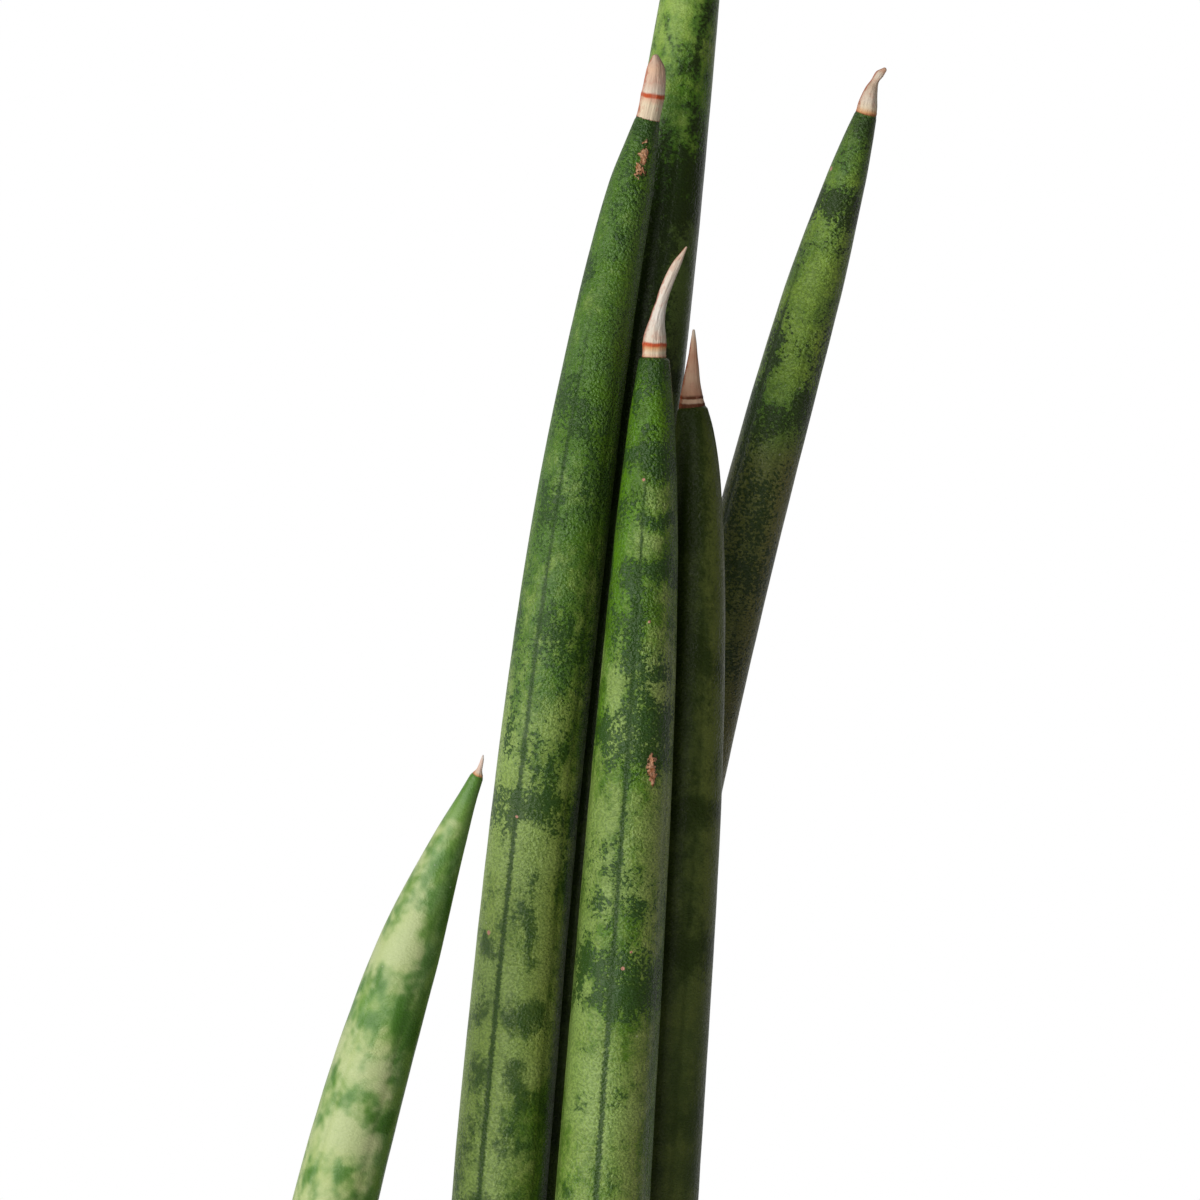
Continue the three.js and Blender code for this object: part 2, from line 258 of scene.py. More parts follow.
leafForm = {
    "sides": 120,
    "lineSteps": 600,
    "girthAt": (0, 5, 14, 40, 90, 200),   # mm below the start of the dry tip
    "furrowCount": 5,
    "furrowDepth": 0.14,
    "creaseDepth": 0.06,
    "furrowFadeIn": 22,
    "channelDepth": 0.2,
    "channelHalfAngle": 0.5,
    "channelLength": 110,
    "footNarrowing": 0.14,
    "footLength": 60,
    "tipShoulder": 0.12,
    "shoulderRound": 0.4,
    "fineStep": 0.2,        # distance between rings on the dry tip and on scabs
    "coarseStep": 1.7,      # distance between rings low on the leaf
    "coarseFrom": 60,
    "skinWave": 0.05,
    "waveLength": 7,
    "markReach": 2.2,       # how far a mark is felt, in its half sizes
    "markSway": 3.2,        # how far noise moves a mark's edge along the leaf
    "markTurn": 14,         # and round it, in degrees
    "fewestGrains": -0.3,
    "mostGrains": 0.8,
    "markShade": 0.4,       # share of a mark that also darkens the skin between its grains
    "scabReach": 1.35,      # how far a scab's frayed edge reaches, in its half sizes
    "scabFray": 0.7,
    "scabGrain": 0.12,
    "scabHollow": 0.1,
    "fibreDepth": 0.055,    # share of the dry tip's radius
    "fibreLength": 0.13,    # the smaller the number the longer the fibres
    "fibreFineness": 3.5,
    "tipOval": 0.03,
}

# Marks on the stretches that the photograph doesn't show: a few at each distance, and a band now and then
wildForm = {
    "first": 12,
    "spacing": (9, 14),
    "atOnce": 3,
    "strayLength": 5,
    "strayAngle": 20,
    "strengths": (0.6, 0.5, 0.4, -0.4, -0.6),
    "halfLength": (2, 5),
    "halfAngle": (12, 34),
    "hiddenTurns": (110, 160, 210, 250),
    "allTurns": (0, 55, 110, 160, 210, 250, 305),
    "bandShare": 0.55,
    "bandHalfLength": (2.5, 5),
    "bandStrength": (0.3, 0.6),
}

# Spines, girths, turns and tips are the solids' own. A mark is where the dark pattern gathers, or parts
# where its strength is negative: mm below the dry tip, degrees from the front towards the right, half its
# length in mm, half its width in degrees, strength. Shades are placed in the same way and darken the skin
# between the grains; shade is how dark it is elsewhere, and mark how many grains lie outside the marks.
# Most marks and shades are the skin's own pattern. Those on the side away from the light, and those where a
# leaf stands in the shadow of the leaves in front, are painted shade. A lighter one on leaf_shaded's right
# side is painted light.
# A scab is a raised corky scar, placed in the same way with its height. Spots are small and round: mm,
# degrees, radius. Mottling and blotches say how uneven the skin is, detail how ragged the patches are,
# grains how much the pattern breaks up, and softness how blurred it is. Relief is the strength of the
# skin's bumps, sheen its shine, and olive how far its right side, away from the light, is tinted olive as
# painted shade. The furrow's dark line has a strength and starts at lineFrom. Low is painted shade: a
# paint that covers the skin between two distances, by a share, low on leaves that the leaves in front
# shade. The marks follow the photograph down to seenTo. Dry tones are mm up the dry tip and a name of
# dryTones. Rings are low ridges on the dry tip: mm up it, half width, height. Dents are mm up it, degrees,
# half length, half width in degrees, depth.
leaves = {
    "leaf_far_left": {
        "spine": ((-43, -18, 84), (-46, -27, 172), (-25.5, -25, 291), (7.5, -38, 364)),
        "girth": (1.25, 1.85, 3.25, 6.45, 8.2, 8.6),
        "tip": ((0.3, -0.2, 0.9), (0.8, -0.4, 2.2), (1.1, -0.6, 3.9)),
        "tipRadii": (1.05, 0.6, 0.42, 0.32, 0.15),
        "furrow": -40, "channel": 70, "seenTo": 100,
        "marks": (
            (1, 0, 3, 180, 0.2), (7.5, 38, 3, 26, 0.5), (9, -28, 2.4, 24, -0.5), (16, -52, 3, 12, 0.35),
            (14.5, 28, 3.4, 26, 0.45), (20, 18, 3, 30, 0.4), (16, -20, 3, 9, -0.5), (26, 60, 6, 34, 0.6),
            (29, 22, 3, 14, 0.45), (24, -62, 4, 22, 0.25), (28.5, -12, 2.6, 13, -0.4),
            (37, -14, 4, 28, -0.5), (37, 48, 4, 20, 0.3), (45.4, -44, 3.2, 22, 0.35),
            (45, 40, 3.4, 30, 0.5), (50, 62, 4.4, 40, 0.7), (50, 20, 3, 14, 0.5), (54, 44, 3.2, 24, 0.55),
            (52, -26, 3.2, 20, 0.35), (60, -12, 4, 24, -0.5), (61, 52, 3, 26, 0.3), (65, -56, 4, 20, 0.3),
            (66, 8, 2, 10, 0.35), (70, 38, 3, 34, 0.7), (69, -30, 2.4, 14, 0.35), (76, -14, 4, 50, -0.5),
            (82, 2, 2.4, 10, 0.55), (84, -60, 3, 18, 0.3), (88, 40, 4, 26, 0.5), (97, 0, 5, 180, 0.5),
        ),
        # the last shade, down the right edge, is painted shade on the side away from the light
        "shades": (
            (3, 0, 6, 180, 0.9), (17, 20, 9, 70, 0.45), (25, -66, 6, 30, 0.3), (28, 50, 12, 44, 0.6),
            (49, 0, 6, 180, 0.3), (68, 0, 5, 180, 0.25), (62, 74, 60, 30, 0.8),
        ),
        "shade": 0.4, "mark": 0.06, "mottling": 0.95, "blotches": 0.9, "detail": 0.6, "grains": 0.05,
        "softness": 0.5, "relief": 0.25, "sheen": 0.4, "olive": 0.4, "lineStrength": 0.1, "lineFrom": 60,
        "pale": ("c6d598", "bfd088"), "mid": ("7fa850", "7ba55a"), "dark": ("3c7410", "45791e"),
        "dryTones": ((0, "rust"), (0.25, "amber"), (0.8, "bone"), (4, "chalk")),
        "rings": (), "dents": (),
    },
    "leaf_front_left": {
        "spine": ((-5, -10, 84), (8, -6, 214.5), (14.3, -8, 391.5), (40.4, -10, 490.3)),
        "girth": (2.45, 3.2, 4.5, 5.95, 7.9, 9.45),
        "tip": ((1, -0.6, 4.3), (1.8, -1.2, 8.8), (1.4, -1.6, 12.6)),
        "tipRadii": (2.35, 2.35, 2.4, 2.3, 2.1, 1.65, 0.8),
        "furrow": -25, "channel": 150, "seenTo": 222,
        "marks": (
            (3, 0, 7, 180, 0.3), (15.3, -75, 3, 34, -0.4), (14.5, 11, 4, 26, 0.4), (17.7, 5, 2, 22, -0.3),
            (25.5, -32, 4, 26, -0.4), (23, -6, 2.4, 16, 0.4), (30.5, -60, 4, 34, 0.45),
            (36.6, -37, 3.6, 24, -0.4), (37, -74, 3.4, 16, 0.4), (46, -54, 5, 17, -0.6),
            (42, -25, 5, 14, -0.3), (55.8, -60, 5, 26, 0.45), (60, -22, 6, 40, 0.4),
            (66.7, -3, 1.6, 8, -0.6), (69.5, -62, 4, 18, -0.6), (77.7, -46, 4.4, 32, 0.5),
            (72, 40, 8, 40, 0.3), (63, 20, 5, 30, 0.3), (80, -75, 4, 14, -0.5), (86, 30, 6, 40, -0.15),
            (92, -10, 5, 25, -0.25), (97, -43, 4, 15, -0.4), (102, -2, 7, 22, 0.42), (104, 36, 6, 30, 0.42),
            (99, 27, 2.3, 8, -0.8), (103, -62, 5, 20, 0.4), (90, -12, 6, 22, -0.3), (114, 0, 5, 180, 0.1),
            (117, -12, 5, 20, -0.3), (124, -52, 5, 11, 0.45), (127, -8, 6, 10, 0.35),
            (126, 28, 7, 13, 0.45), (130, 12, 3, 8, 0.35), (129, 48, 5.5, 13, -0.7),
            (137.6, 0, 4.6, 180, 0.46), (139, -12, 4, 30, 0.2), (147, -10, 5, 20, -0.3),
            (142, -30, 2.5, 12, 0.4), (148, -10, 4, 60, -0.2), (150, 50, 6, 14, 0.35),
            (152.4, 14, 3.4, 9, 0.45), (155, -50, 2.4, 12, 0.45), (159, 0, 3.4, 10, 0.45),
            (166, 7, 5, 8, 0.5), (167, -42, 3, 20, 0.5), (172, 10, 2, 30, -0.3), (178, -50, 3, 18, 0.45),
            (179, 12, 4, 28, 0.6), (185, 0, 2.4, 180, -0.25), (187, 58, 5, 14, 0.35),
            (190.5, 2, 4, 16, 0.55), (194.5, 20, 4, 16, 0.55), (192, -50, 4, 16, 0.4),
            (200, 48, 5, 14, 0.35), (204, 5, 5, 16, 0.4), (206, -45, 5, 18, 0.4), (212, -70, 4, 20, 0.4),
            (219, 0, 4, 180, 0.35), (182, -20, 34, 60, 0.1),
        ),
        # the shades on the right side, from 50 degrees round, are painted shade on the side away from the
        # light; the others are the skin's mid green areas
        "shades": (
            (36, 0, 62, 180, 1), (106, -30, 24, 60, 0.35), (108, 58, 34, 36, 0.25), (178, 84, 60, 32, 0.6),
            (214, 50, 24, 50, 0.6),
        ),
        "shade": 0.12, "mark": 0.16, "mottling": 1.2, "blotches": 0.8, "detail": 3, "grains": 0.95,
        "softness": 0.1, "relief": 1, "sheen": 0.42, "olive": 1, "lineStrength": 0.92, "lineFrom": 44,
        "pale": ("a0bd65", "9bb75a"), "mid": ("588420", "557e2e"), "dark": ("2f5012", "33541f"),
        "scab": (8.2, 14, 4, 20, 0.12), "spots": ((163, -48, 0.5), (139.3, -24, 0.4)),
        "dryTones": (
            (0, "rust"), (0.35, "cream"), (3, "cream"), (4.2, "peach"), (4.5, "ember"), (5, "ember"),
            (5.4, "bone"), (7.5, "pinkBeige"), (10, "peach"), (12, "pinkBeige"),
        ),
        "rings": ((4.7, 0.5, 0.06), (0.2, 0.3, 0.05)),
        "dents": ((7, -60, 1.4, 30, 0.12), (9.5, 40, 1, 25, 0.15)),
    },
    "leaf_tall": {
        "spine": ((6, 11, 84), (16, 10.5, 250.5), (32.4, 8.4, 392.3), (53.7, 3, 550.7)),
        "girth": (2.6, 3.3, 4.4, 6.1, 8.1, 9.8),
        "tip": ((0.9, 0, 4.3), (1.5, 0, 9), (1.6, 0, 13.5)),
        "tipRadii": (2.4, 2.2, 1.9, 1.5, 1.05, 0.6, 0.25),
        "furrow": 10, "channel": -60, "seenTo": 112,
        # the broad marks from about 100 mm down, the last shade and the low paint are painted shade, where
        # the leaves in front shade this leaf
        "marks": (
            (3, 0, 7, 180, 0.5), (18, 0, 4, 180, 0.45), (28, 20, 3, 60, 0.4), (40, -24, 3, 22, -0.5),
            (39, 45, 5, 30, 0.3), (41.6, -53, 2, 14, 0.3), (45, -13, 2.4, 14, 0.3), (46, 28, 4, 18, 0.4),
            (50.6, -4, 2, 20, 0.3), (53, 20, 4, 20, 0.4), (57, -24, 3, 26, -0.4), (60, 40, 5, 24, 0.25),
            (73, 0, 10, 180, 0.8), (79, 12, 1.5, 6, -0.6), (83, 16, 1.5, 8, -0.5), (84, -14, 9, 40, 0.7),
            (104, -4, 24, 34, 0.6), (112, -30, 20, 60, 0.4), (150, -20, 30, 70, 0.5),
            (200, -20, 40, 70, 0.4),
        ),
        "shades": (
            (10, 0, 30, 180, 1), (50, 60, 22, 30, 0.2), (59, 0, 7, 180, 0.25), (120, 0, 60, 180, 1.2),
        ),
        "shade": 0.1, "mark": 0.14, "mottling": 1.2, "blotches": 0.6, "detail": 2, "grains": 0.5,
        "softness": 0.28, "relief": 0.5, "sheen": 0.3, "olive": 1, "lineStrength": 0.4, "lineFrom": 60,
        "pale": ("a2c25e", "9aba50"), "mid": ("5f9628", "558430"), "dark": ("29390f", "2b3c18"),
        # painted shade: olive paint over the lower skin that the leaves in front shade
        "low": ("586c37", 72, 82, 0.85),
        "dryTones": (
            (0, "rust"), (0.35, "cream"), (1.8, "bone"), (2.2, "rust"), (2.7, "rust"), (3.1, "bone"),
            (9, "pinkBeige"), (13, "bone"),
        ),
        "rings": ((2.5, 0.4, 0.06), (0.2, 0.3, 0.05)), "dents": ((6, 30, 1.4, 30, 0.12),),
    },
    "leaf_front_centre": {
        "spine": ((23, -12, 84), (23.5, -19, 209.3), (38.4, -19, 347.2), (41.6, -17, 443.7)),
        "girth": (2.95, 3.6, 4.65, 6.45, 8.15, 9.9),
        "tip": ((0, -0.3, 8), (1.6, -1, 14), (6.3, -2, 21.6)),
        "tipRadii": (2.35, 2.3, 1.5, 1.15, 1.05, 0.85, 0.2),
        "furrow": -9, "channel": 180, "seenTo": 170,
        "marks": (
            (2, 0, 4, 180, 0.55), (7.8, -50, 4, 22, 0.5), (9.8, 0, 3, 50, -0.45), (11.7, 40, 4, 26, 0.45),
            (12.7, -8, 2.6, 22, 0.5), (15.6, -46, 3, 16, -0.4), (14.6, 25, 2.4, 14, -0.3),
            (19.9, 10, 3, 80, 0.9), (19.5, -60, 3, 30, 0.5), (21.5, -32, 2.5, 14, -0.6),
            (25.4, 16, 3.4, 44, -0.55), (31.2, 20, 3, 50, 0.45), (30.3, -20, 2.6, 16, 0.45),
            (29.3, -60, 4, 18, 0.4), (31.2, 50, 2.6, 30, 0.3), (36.1, 22, 2.8, 44, -0.5),
            (41.6, 0, 2.8, 180, 0.5), (42, 40, 2.6, 30, 0.25), (42, -56, 3.4, 15, -0.6),
            (48.8, 30, 5, 26, -0.4), (50.8, -59, 3, 8, 0.5), (45.9, -12, 5, 12, 0.45),
            (52.2, -8, 5, 16, 0.6), (57.1, -26, 6, 28, 0.55), (58, -32, 1.6, 10, -0.6),
            (60.5, 6, 4, 14, 0.35), (60.9, 36, 2.8, 28, 0.5), (65.4, -44, 3, 18, -0.7),
            (68.3, 8, 6, 30, 0.45), (65.4, 22, 2.4, 10, -0.4), (72.2, 42, 6, 24, 0.45),
            (75.6, 0, 7, 180, 0.42), (72.2, -50, 4, 16, 0.3), (80, -57, 5, 14, -0.7),
            (76.1, 20, 5, 22, 0.35), (81, -25, 3, 16, -0.4), (89.3, 0, 6.5, 180, -0.25),
            (87.8, -6, 6, 8, 0.45), (98.6, -12, 5, 10, 0.4), (97, -38, 3, 12, 0.5),
            (95.6, -60, 1.6, 6, 0.5), (101.5, 8, 2.5, 10, 0.3), (106.4, -37, 2.4, 19, 0.62),
            (107.4, 15, 3, 17, 0.6), (111.3, -16, 2.4, 9, 0.4), (114.2, 10, 2.4, 60, -0.2),
            (121.5, 0, 6, 180, 0.52), (119.1, -42, 3.6, 18, 0.35), (124, 12, 5, 26, 0.4),
            (123, -36, 2, 9, -0.8), (128.3, 25, 2, 6, 0.4), (135.7, 0, 7, 180, -0.25),
            (135.3, -44, 2, 12, 0.5), (144.4, 10, 3, 14, 0.35), (151.3, 0, 6, 180, -0.15),
            (154.2, 20, 2.2, 13, 0.45), (148.4, -40, 2.4, 14, 0.35), (163, -45, 3, 16, 0.45),
            (160.1, 6, 2.4, 12, 0.3),
        ),
        # the shades down the left edge are painted shade from leaf_front_left, tinted by green light it
        # reflects; the one on the right side, away from the light, is painted shade too
        "shades": (
            (2, 0, 20, 180, 0.9), (35.1, 0, 26, 180, 0.6), (13.7, -62, 34, 30, 0.9), (40, -66, 34, 22, 0.6),
            (76.1, 0, 12, 180, 0.25), (107.4, 0, 30, 50, 0.2), (152.3, 0, 46, 180, 0.18),
            (156.2, 84, 80, 30, 0.5),
        ),
        "shade": 0.15, "mark": 0.14, "mottling": 1.4, "blotches": 0.8, "detail": 3, "grains": 0.95,
        "softness": 0.1, "relief": 1, "sheen": 0.42, "olive": 1, "lineStrength": 0.92, "lineFrom": 22,
        "pale": ("9ab861", "94b057"), "mid": ("5e9014", "557e1c"), "dark": ("2f5012", "345620"),
        "scab": (80.3, 29, 3.4, 9, 0.3),
        "spots": ((119.1, 5, 0.45), (115.8, 14, 0.3), (51.3, 12, 0.3), (23.8, -12, 0.35)),
        "dryTones": (
            (0, "rust"), (0.35, "peach"), (1.1, "cream"), (2, "amber"), (2.4, "ember"), (2.8, "ember"),
            (3.2, "bone"), (8, "chalk"), (19, "bone"), (23.5, "pinkBeige"),
        ),
        "rings": ((2.6, 0.35, 0.1), (0.3, 0.3, 0.06)),
        "dents": ((10.8, -80, 0.7, 34, 0.2), (5, 100, 2, 30, 0.1)),
    },
    "leaf_shaded": {
        "spine": ((35, 9, 84), (31, -1, 214.3), (55.2, -4, 383.9), (49.25, -5, 433.7)),
        "girth": (2.95, 3.85, 4.75, 6.2, 8, 9.7),
        "tip": ((-0.3, -0.2, 4.5), (0.3, -0.4, 10), (0.3, -0.5, 15.4)),
        "tipRadii": (2.5, 2.15, 1.7, 1.3, 0.9, 0.6, 0.25),
        "furrow": 20, "channel": -110, "seenTo": 150,
        # this leaf stands in the shadow of leaf_front_centre: its broad dark marks and shades down the
        # middle are painted shade, and the negative shade on its right side is painted light from behind
        "marks": (
            (8, -12, 16, 46, 0.6), (30, -26, 18, 50, 0.45), (50, 0, 4, 180, 0.35), (60, -18, 18, 44, 0.35),
            (80, 0, 3, 180, 0.5), (95, 0, 16, 40, 0.4), (92, 0, 6, 180, -0.2), (108, 0, 3.4, 180, 0.45),
            (124, 0, 6, 180, -0.25), (142, 0, 4, 180, 0.5),
        ),
        "shades": ((20, -30, 60, 50, 0.9), (64, 60, 60, 30, -0.5), (110, 0, 60, 180, 0.6)),
        "shade": 0.1, "mark": 0.2, "mottling": 0.8, "blotches": 0.6, "detail": 3, "grains": 0.35,
        "softness": 0.4, "relief": 0.5, "sheen": 0.2, "olive": 0, "lineStrength": 0.3, "lineFrom": 50,
        # painted shade: tones darkened for the shadow this leaf stands in
        "pale": ("6a7538", "667036"), "mid": ("556430", "4c5c2c"), "dark": ("2f3d12", "344318"),
        "dryTones": (
            (0, "bark"), (0.7, "bark"), (1, "peach"), (1.6, "peach"), (1.8, "bark"), (2.1, "bark"),
            (2.5, "clay"), (6, "peach"), (10, "clay"), (13, "peach"), (15, "bone"),
        ),
        "rings": ((0.5, 0.5, 0.1), (2.1, 0.2, 0.05)), "dents": ((5, 70, 2, 30, 0.1),),
    },
    "leaf_right": {
        "spine": ((6, 34, 84), (30, 32, 243), (36, 35, 330), (84.2, 6, 492)),
        "girth": (2.2, 2.95, 4, 5.85, 6.9, 7.9),
        "tip": ((0.5, -0.4, 3), (1, -0.8, 7.2), (3.9, -1.2, 8.9)),
        "tipRadii": (2.15, 2.05, 1.7, 1.3, 0.85, 0.9, 0.5),
        "furrow": -55, "channel": -20, "seenTo": 140,
        "marks": (
            (3, 0, 6, 180, 0.3), (14, -40, 2, 20, -0.3), (18.8, 0, 3.2, 180, 0.68), (27, 38, 2.4, 12, 0.35),
            (34, -10, 8, 30, -0.3), (46.5, 60, 8, 26, 0.55), (50.5, -56, 8, 24, 0.6),
            (58.5, 40, 5, 30, 0.45), (63.5, 0, 4.4, 180, 0.55), (57.5, -8, 3.6, 30, -0.55),
            (68.5, -44, 9, 26, 0.5), (70.5, 10, 3, 30, -0.2), (76.5, 0, 3, 40, 0.35),
            (82.5, -30, 6, 50, 0.4), (86.5, 20, 5, 24, 0.5), (94.5, 0, 6, 180, 0.4),
            (102.5, 20, 6, 60, 0.35), (114.5, 0, 5, 180, 0.4),
        ),
        # the wide shade from about 64 mm down and the low paint are painted shade, where the leaves in
        # front shade this leaf
        "shades": (
            (4, 0, 14, 180, 0.65), (32, 0, 14, 180, 0.5), (66, 0, 14, 180, 0.5), (98, 0, 34, 180, 0.85),
        ),
        "shade": 0.1, "mark": 0.12, "mottling": 0.85, "blotches": 0.5, "detail": 3, "grains": 0.95,
        "softness": 0.11, "relief": 0.9, "sheen": 0.38, "olive": 1, "lineStrength": 0.9, "lineFrom": 34,
        "pale": ("97ba4c", "90b242"), "mid": ("5f8a30", "567e36"), "dark": ("2f4512", "33491e"),
        # painted shade: olive paint over the lower skin that the leaves in front shade
        "low": ("7b7e42", 60, 76, 0.85), "spots": ((12.4, -72, 0.5),),
        "dryTones": (
            (0, "rust"), (0.4, "amber"), (1.4, "cream"), (2.6, "bone"), (6, "tan"), (8.2, "bone"),
            (9.5, "peach"),
        ),
        "rings": ((0.3, 0.3, 0.06),), "dents": ((6.6, -60, 0.8, 40, 0.18), (7.6, 120, 0.7, 40, 0.15)),
    },
}

dryTones = {
    "rust": "a65a38",
    "ember": "d0582c",
    "amber": "eab27c",
    "peach": "f0c8aa",
    "cream": "f7e4c6",
    "bone": "f3e3cf",
    "chalk": "faf2e8",
    "pinkBeige": "e8c8b2",
    "tan": "dcc0a6",
    "bark": "74442e",
    "clay": "dda88a",
}


def smoothThrough(xs, ys, x):
    # value at x of the smooth curve through the points, with each slope taken from its neighbours
    last = len(xs) - 1

    def slopeAt(k):
        before, after = max(k - 1, 0), min(k + 1, last)
        return (ys[after] - ys[before]) / (xs[after] - xs[before])

    if x >= xs[last]:
        return ys[last]
    right = next(k for k in range(1, last + 1) if xs[k] > x)
    span = xs[right] - xs[right - 1]
    t = (x - xs[right - 1]) / span
    value = ys[right - 1] + (ys[right] - ys[right - 1]) * t * t * (3 - 2 * t)
    return value + span * t * (1 - t) * ((1 - t) * slopeAt(right - 1) - t * slopeAt(right))


def smoothStep(x, low, high):
    t = min(max((x - low) / (high - low), 0), 1)
    return t * t * (3 - 2 * t)


def curveTable(corners):
    # points along a Bezier curve, each with its distance from the start
    points = interpolate_bezier(*(Vector(corner) for corner in corners), leafForm["lineSteps"])
    table = [(0.0, points[0])]
    for before, after in zip(points, points[1:]):
        table.append((table[-1][0] + (after - before).length, after))
    return table


def leafLine(leaf):
    # the centre line of a leaf: distances and points from the foot to the end of the dry tip
    start = Vector(leaf["spine"][3])
    body = curveTable(leaf["spine"])
    tip = curveTable([start] + [start + Vector(offset) for offset in leaf["tip"]])
    bodyLength = body[-1][0]
    table = body + [(bodyLength + distance, point) for distance, point in tip[1:]]
    return {"table": table, "body": bodyLength, "tip": tip[-1][0]}


def crossFrames(line, heights):
    # centre, side and front of the cross section at each height; side lies nearest to +X
    table = line["table"]
    frames = []
    k = 0
    for height in heights:
        while k < len(table) - 2 and table[k + 1][0] < height:
            k += 1
        (low, first), (high, second) = table[k], table[k + 1]
        before = table[max(k - 1, 0)][1]
        after = table[min(k + 2, len(table) - 1)][1]
        t = (height - low) / (high - low)
        along = ((second - before).lerp(after - first, t)).normalized()
        side = (Vector((1, 0, 0)) - along * along.x).normalized()
        frames.append((first.lerp(second, t), side, side.cross(along)))
    return frames


def leafRadius(leaf, height, bodyLength):
    girth = smoothThrough(leafForm["girthAt"], leaf["girth"], max(bodyLength - height, 0))
    foot = 1 - smoothStep(height, 0, leafForm["footLength"])
    return girth * (1 - leafForm["footNarrowing"] * foot)


def tipRadius(leaf, above, tipLength):
    radii = leaf["tipRadii"]
    steps = len(radii) - 1
    xs = [tipLength * step / steps for step in range(steps)] + [tipLength - radii[-1]]
    xs[0] = leafForm["tipShoulder"]
    radius = smoothThrough(xs, radii, min(max(above, xs[0]), xs[-1]))
    beyond = max(above - xs[-1], 0) / radii[-1]
    return radius * math.sqrt(max(1 - beyond * beyond, 0))


def skinRadius(leaf, line, height, furrow, channel):
    # radius with the furrows, the channel near the foot and the step to the dry tip; furrow and channel
    # are 1 in the middle of theirs and 0 outside
    form = leafForm
    below = line["body"] - height
    if below > 0:
        radius = leafRadius(leaf, height, line["body"])
        fadeIn = smoothStep(below, form["furrowFadeIn"], 3 * form["furrowFadeIn"])
        fadeOut = 1 - smoothStep(height, form["footLength"] / 2, form["channelLength"])
        depth = form["furrowDepth"] * furrow ** 3 + form["creaseDepth"] * furrow ** 30
        radius *= 1 - fadeIn * depth / radius - form["channelDepth"] * fadeOut * channel
    else:
        radius = tipRadius(leaf, -below, line["tip"])
    if -form["shoulderRound"] < -below < form["tipShoulder"]:
        shoulder = smoothStep(-below, -form["shoulderRound"], form["tipShoulder"])
        radius = leaf["girth"][0] + (leaf["tipRadii"][0] - leaf["girth"][0]) * shoulder
    return radius


def ringHeights(leaf, line):
    # rings from the foot to the end, close together on the dry tip and wherever there is a scab
    coarse, fine, shoulder = leafForm["coarseStep"], leafForm["fineStep"], leafForm["tipShoulder"]
    heights = [line["body"]]
    while heights[-1] > coarse:
        below = line["body"] - heights[-1]
        step = fine + (coarse - fine) * smoothStep(below, 1, leafForm["coarseFrom"])
        if "scab" in leaf and abs(below - leaf["scab"][0]) < leaf["scab"][2] * 1.5 + 1:
            step = fine
        heights.append(heights[-1] - step)
    heights = [0.0] + heights[::-1]
    tipSteps = math.ceil((line["tip"] - shoulder) / fine)
    for step in range(tipSteps):
        share = math.sin(math.pi / 2 * step / tipSteps) if step > tipSteps * 0.85 else step / tipSteps
        heights.append(line["body"] + shoulder + (line["tip"] - shoulder) * share)
    return sorted(set(heights)) + [line["body"] + line["tip"]]


def wildMarks(leaf, bodyLength, rng):
    form, marks = wildForm, []
    below = form["first"]
    while below < bodyLength:
        seenHere = below < leaf["seenTo"]
        for turn in rng.sample(form["hiddenTurns" if seenHere else "allTurns"], form["atOnce"]):
            strength = rng.choice(form["strengths"])
            centre = below + rng.uniform(-form["strayLength"], form["strayLength"])
            angle = turn + rng.uniform(-form["strayAngle"], form["strayAngle"])
            size = rng.uniform(*form["halfLength"]), rng.uniform(*form["halfAngle"])
            marks.append((centre, angle, *size, strength))
        if not seenHere and rng.random() < form["bandShare"]:
            halfLength = rng.uniform(*form["bandHalfLength"])
            marks.append((below, 0, halfLength, 180, rng.uniform(*form["bandStrength"])))
        below += rng.uniform(*form["spacing"])
    return marks


def degreesApart(turn, angle):
    return (turn - angle + 180) % 360 - 180


def markAt(marks, below, turn):
    # how strongly the dark pattern gathers at a place on the skin
    total = 0.0
    for centre, angle, halfLength, halfAngle, strength in marks:
        apart = abs(below - centre) / halfLength
        if apart < leafForm["markReach"]:
            aside = 0.0 if halfAngle >= 180 else abs(degreesApart(turn, angle)) / halfAngle
            if aside < leafForm["markReach"]:
                total += strength * math.exp(-((apart * apart + aside * aside) ** 1.5))
    return total


def reachFrom(scar, along, turn):
    # how far a place lies from the middle of a scab or a dent, in its half sizes
    centre, angle, halfLength, halfAngle = scar[:4]
    return math.hypot((along - centre) / halfLength, degreesApart(turn, angle) / halfAngle)


def scabLift(cover, place, lift):
    # height of a scab's ragged crust, which stands in a slight hollow
    raised = smoothStep(cover + noise.noise(place * 0.9) * leafForm["scabFray"], 0.35, 0.7)
    crust = raised * (lift + leafForm["scabGrain"] * noise.noise(place * 3))
    return crust - leafForm["scabHollow"] * (cover > 0.1)


def dryRadius(leaf, radius, above, angle, dryTurn):
    # the dry tip's fibres, its slightly oval girth, its ridges and its dents
    form, fine = leafForm, leafForm["fibreFineness"]
    along = above * form["fibreLength"] + dryTurn
    fibres = noise.noise(Vector((math.sin(angle) * fine, math.cos(angle) * fine, along)))
    radius *= 1 + form["fibreDepth"] * fibres + form["tipOval"] * math.cos(2 * angle + dryTurn)
    for at, halfWidth, lift in leaf["rings"]:
        radius += lift * math.exp(-(((above - at) / halfWidth) ** 2))
    for dent in leaf["dents"]:
        apart = reachFrom(dent, above, math.degrees(angle))
        radius -= min(dent[4], radius * 0.4) * math.exp(-(apart ** 2))
    return radius


def mapForBaking(bm, heights):
    # the leaf's length cut in three strips that lie side by side
    uv = bm.loops.layers.uv.new("OFBake")
    last, total = len(heights) - 1, heights[-1]
    for face in bm.faces:
        strip = min(int(heights[min(round((v.co.y + 1) / 2 * last) for v in face.verts)] / total * 3), 2)
        for loop in face.loops:
            across = (loop.vert.co.x + 1) / 2
            row = round((loop.vert.co.y + 1) / 2 * last)
            up = min(max(heights[row] / total * 3 - strip, 0), 1.02)
            loop[uv].uv = ((strip + 0.03 + 0.94 * across) / 3, 0.01 + 0.96 * up)


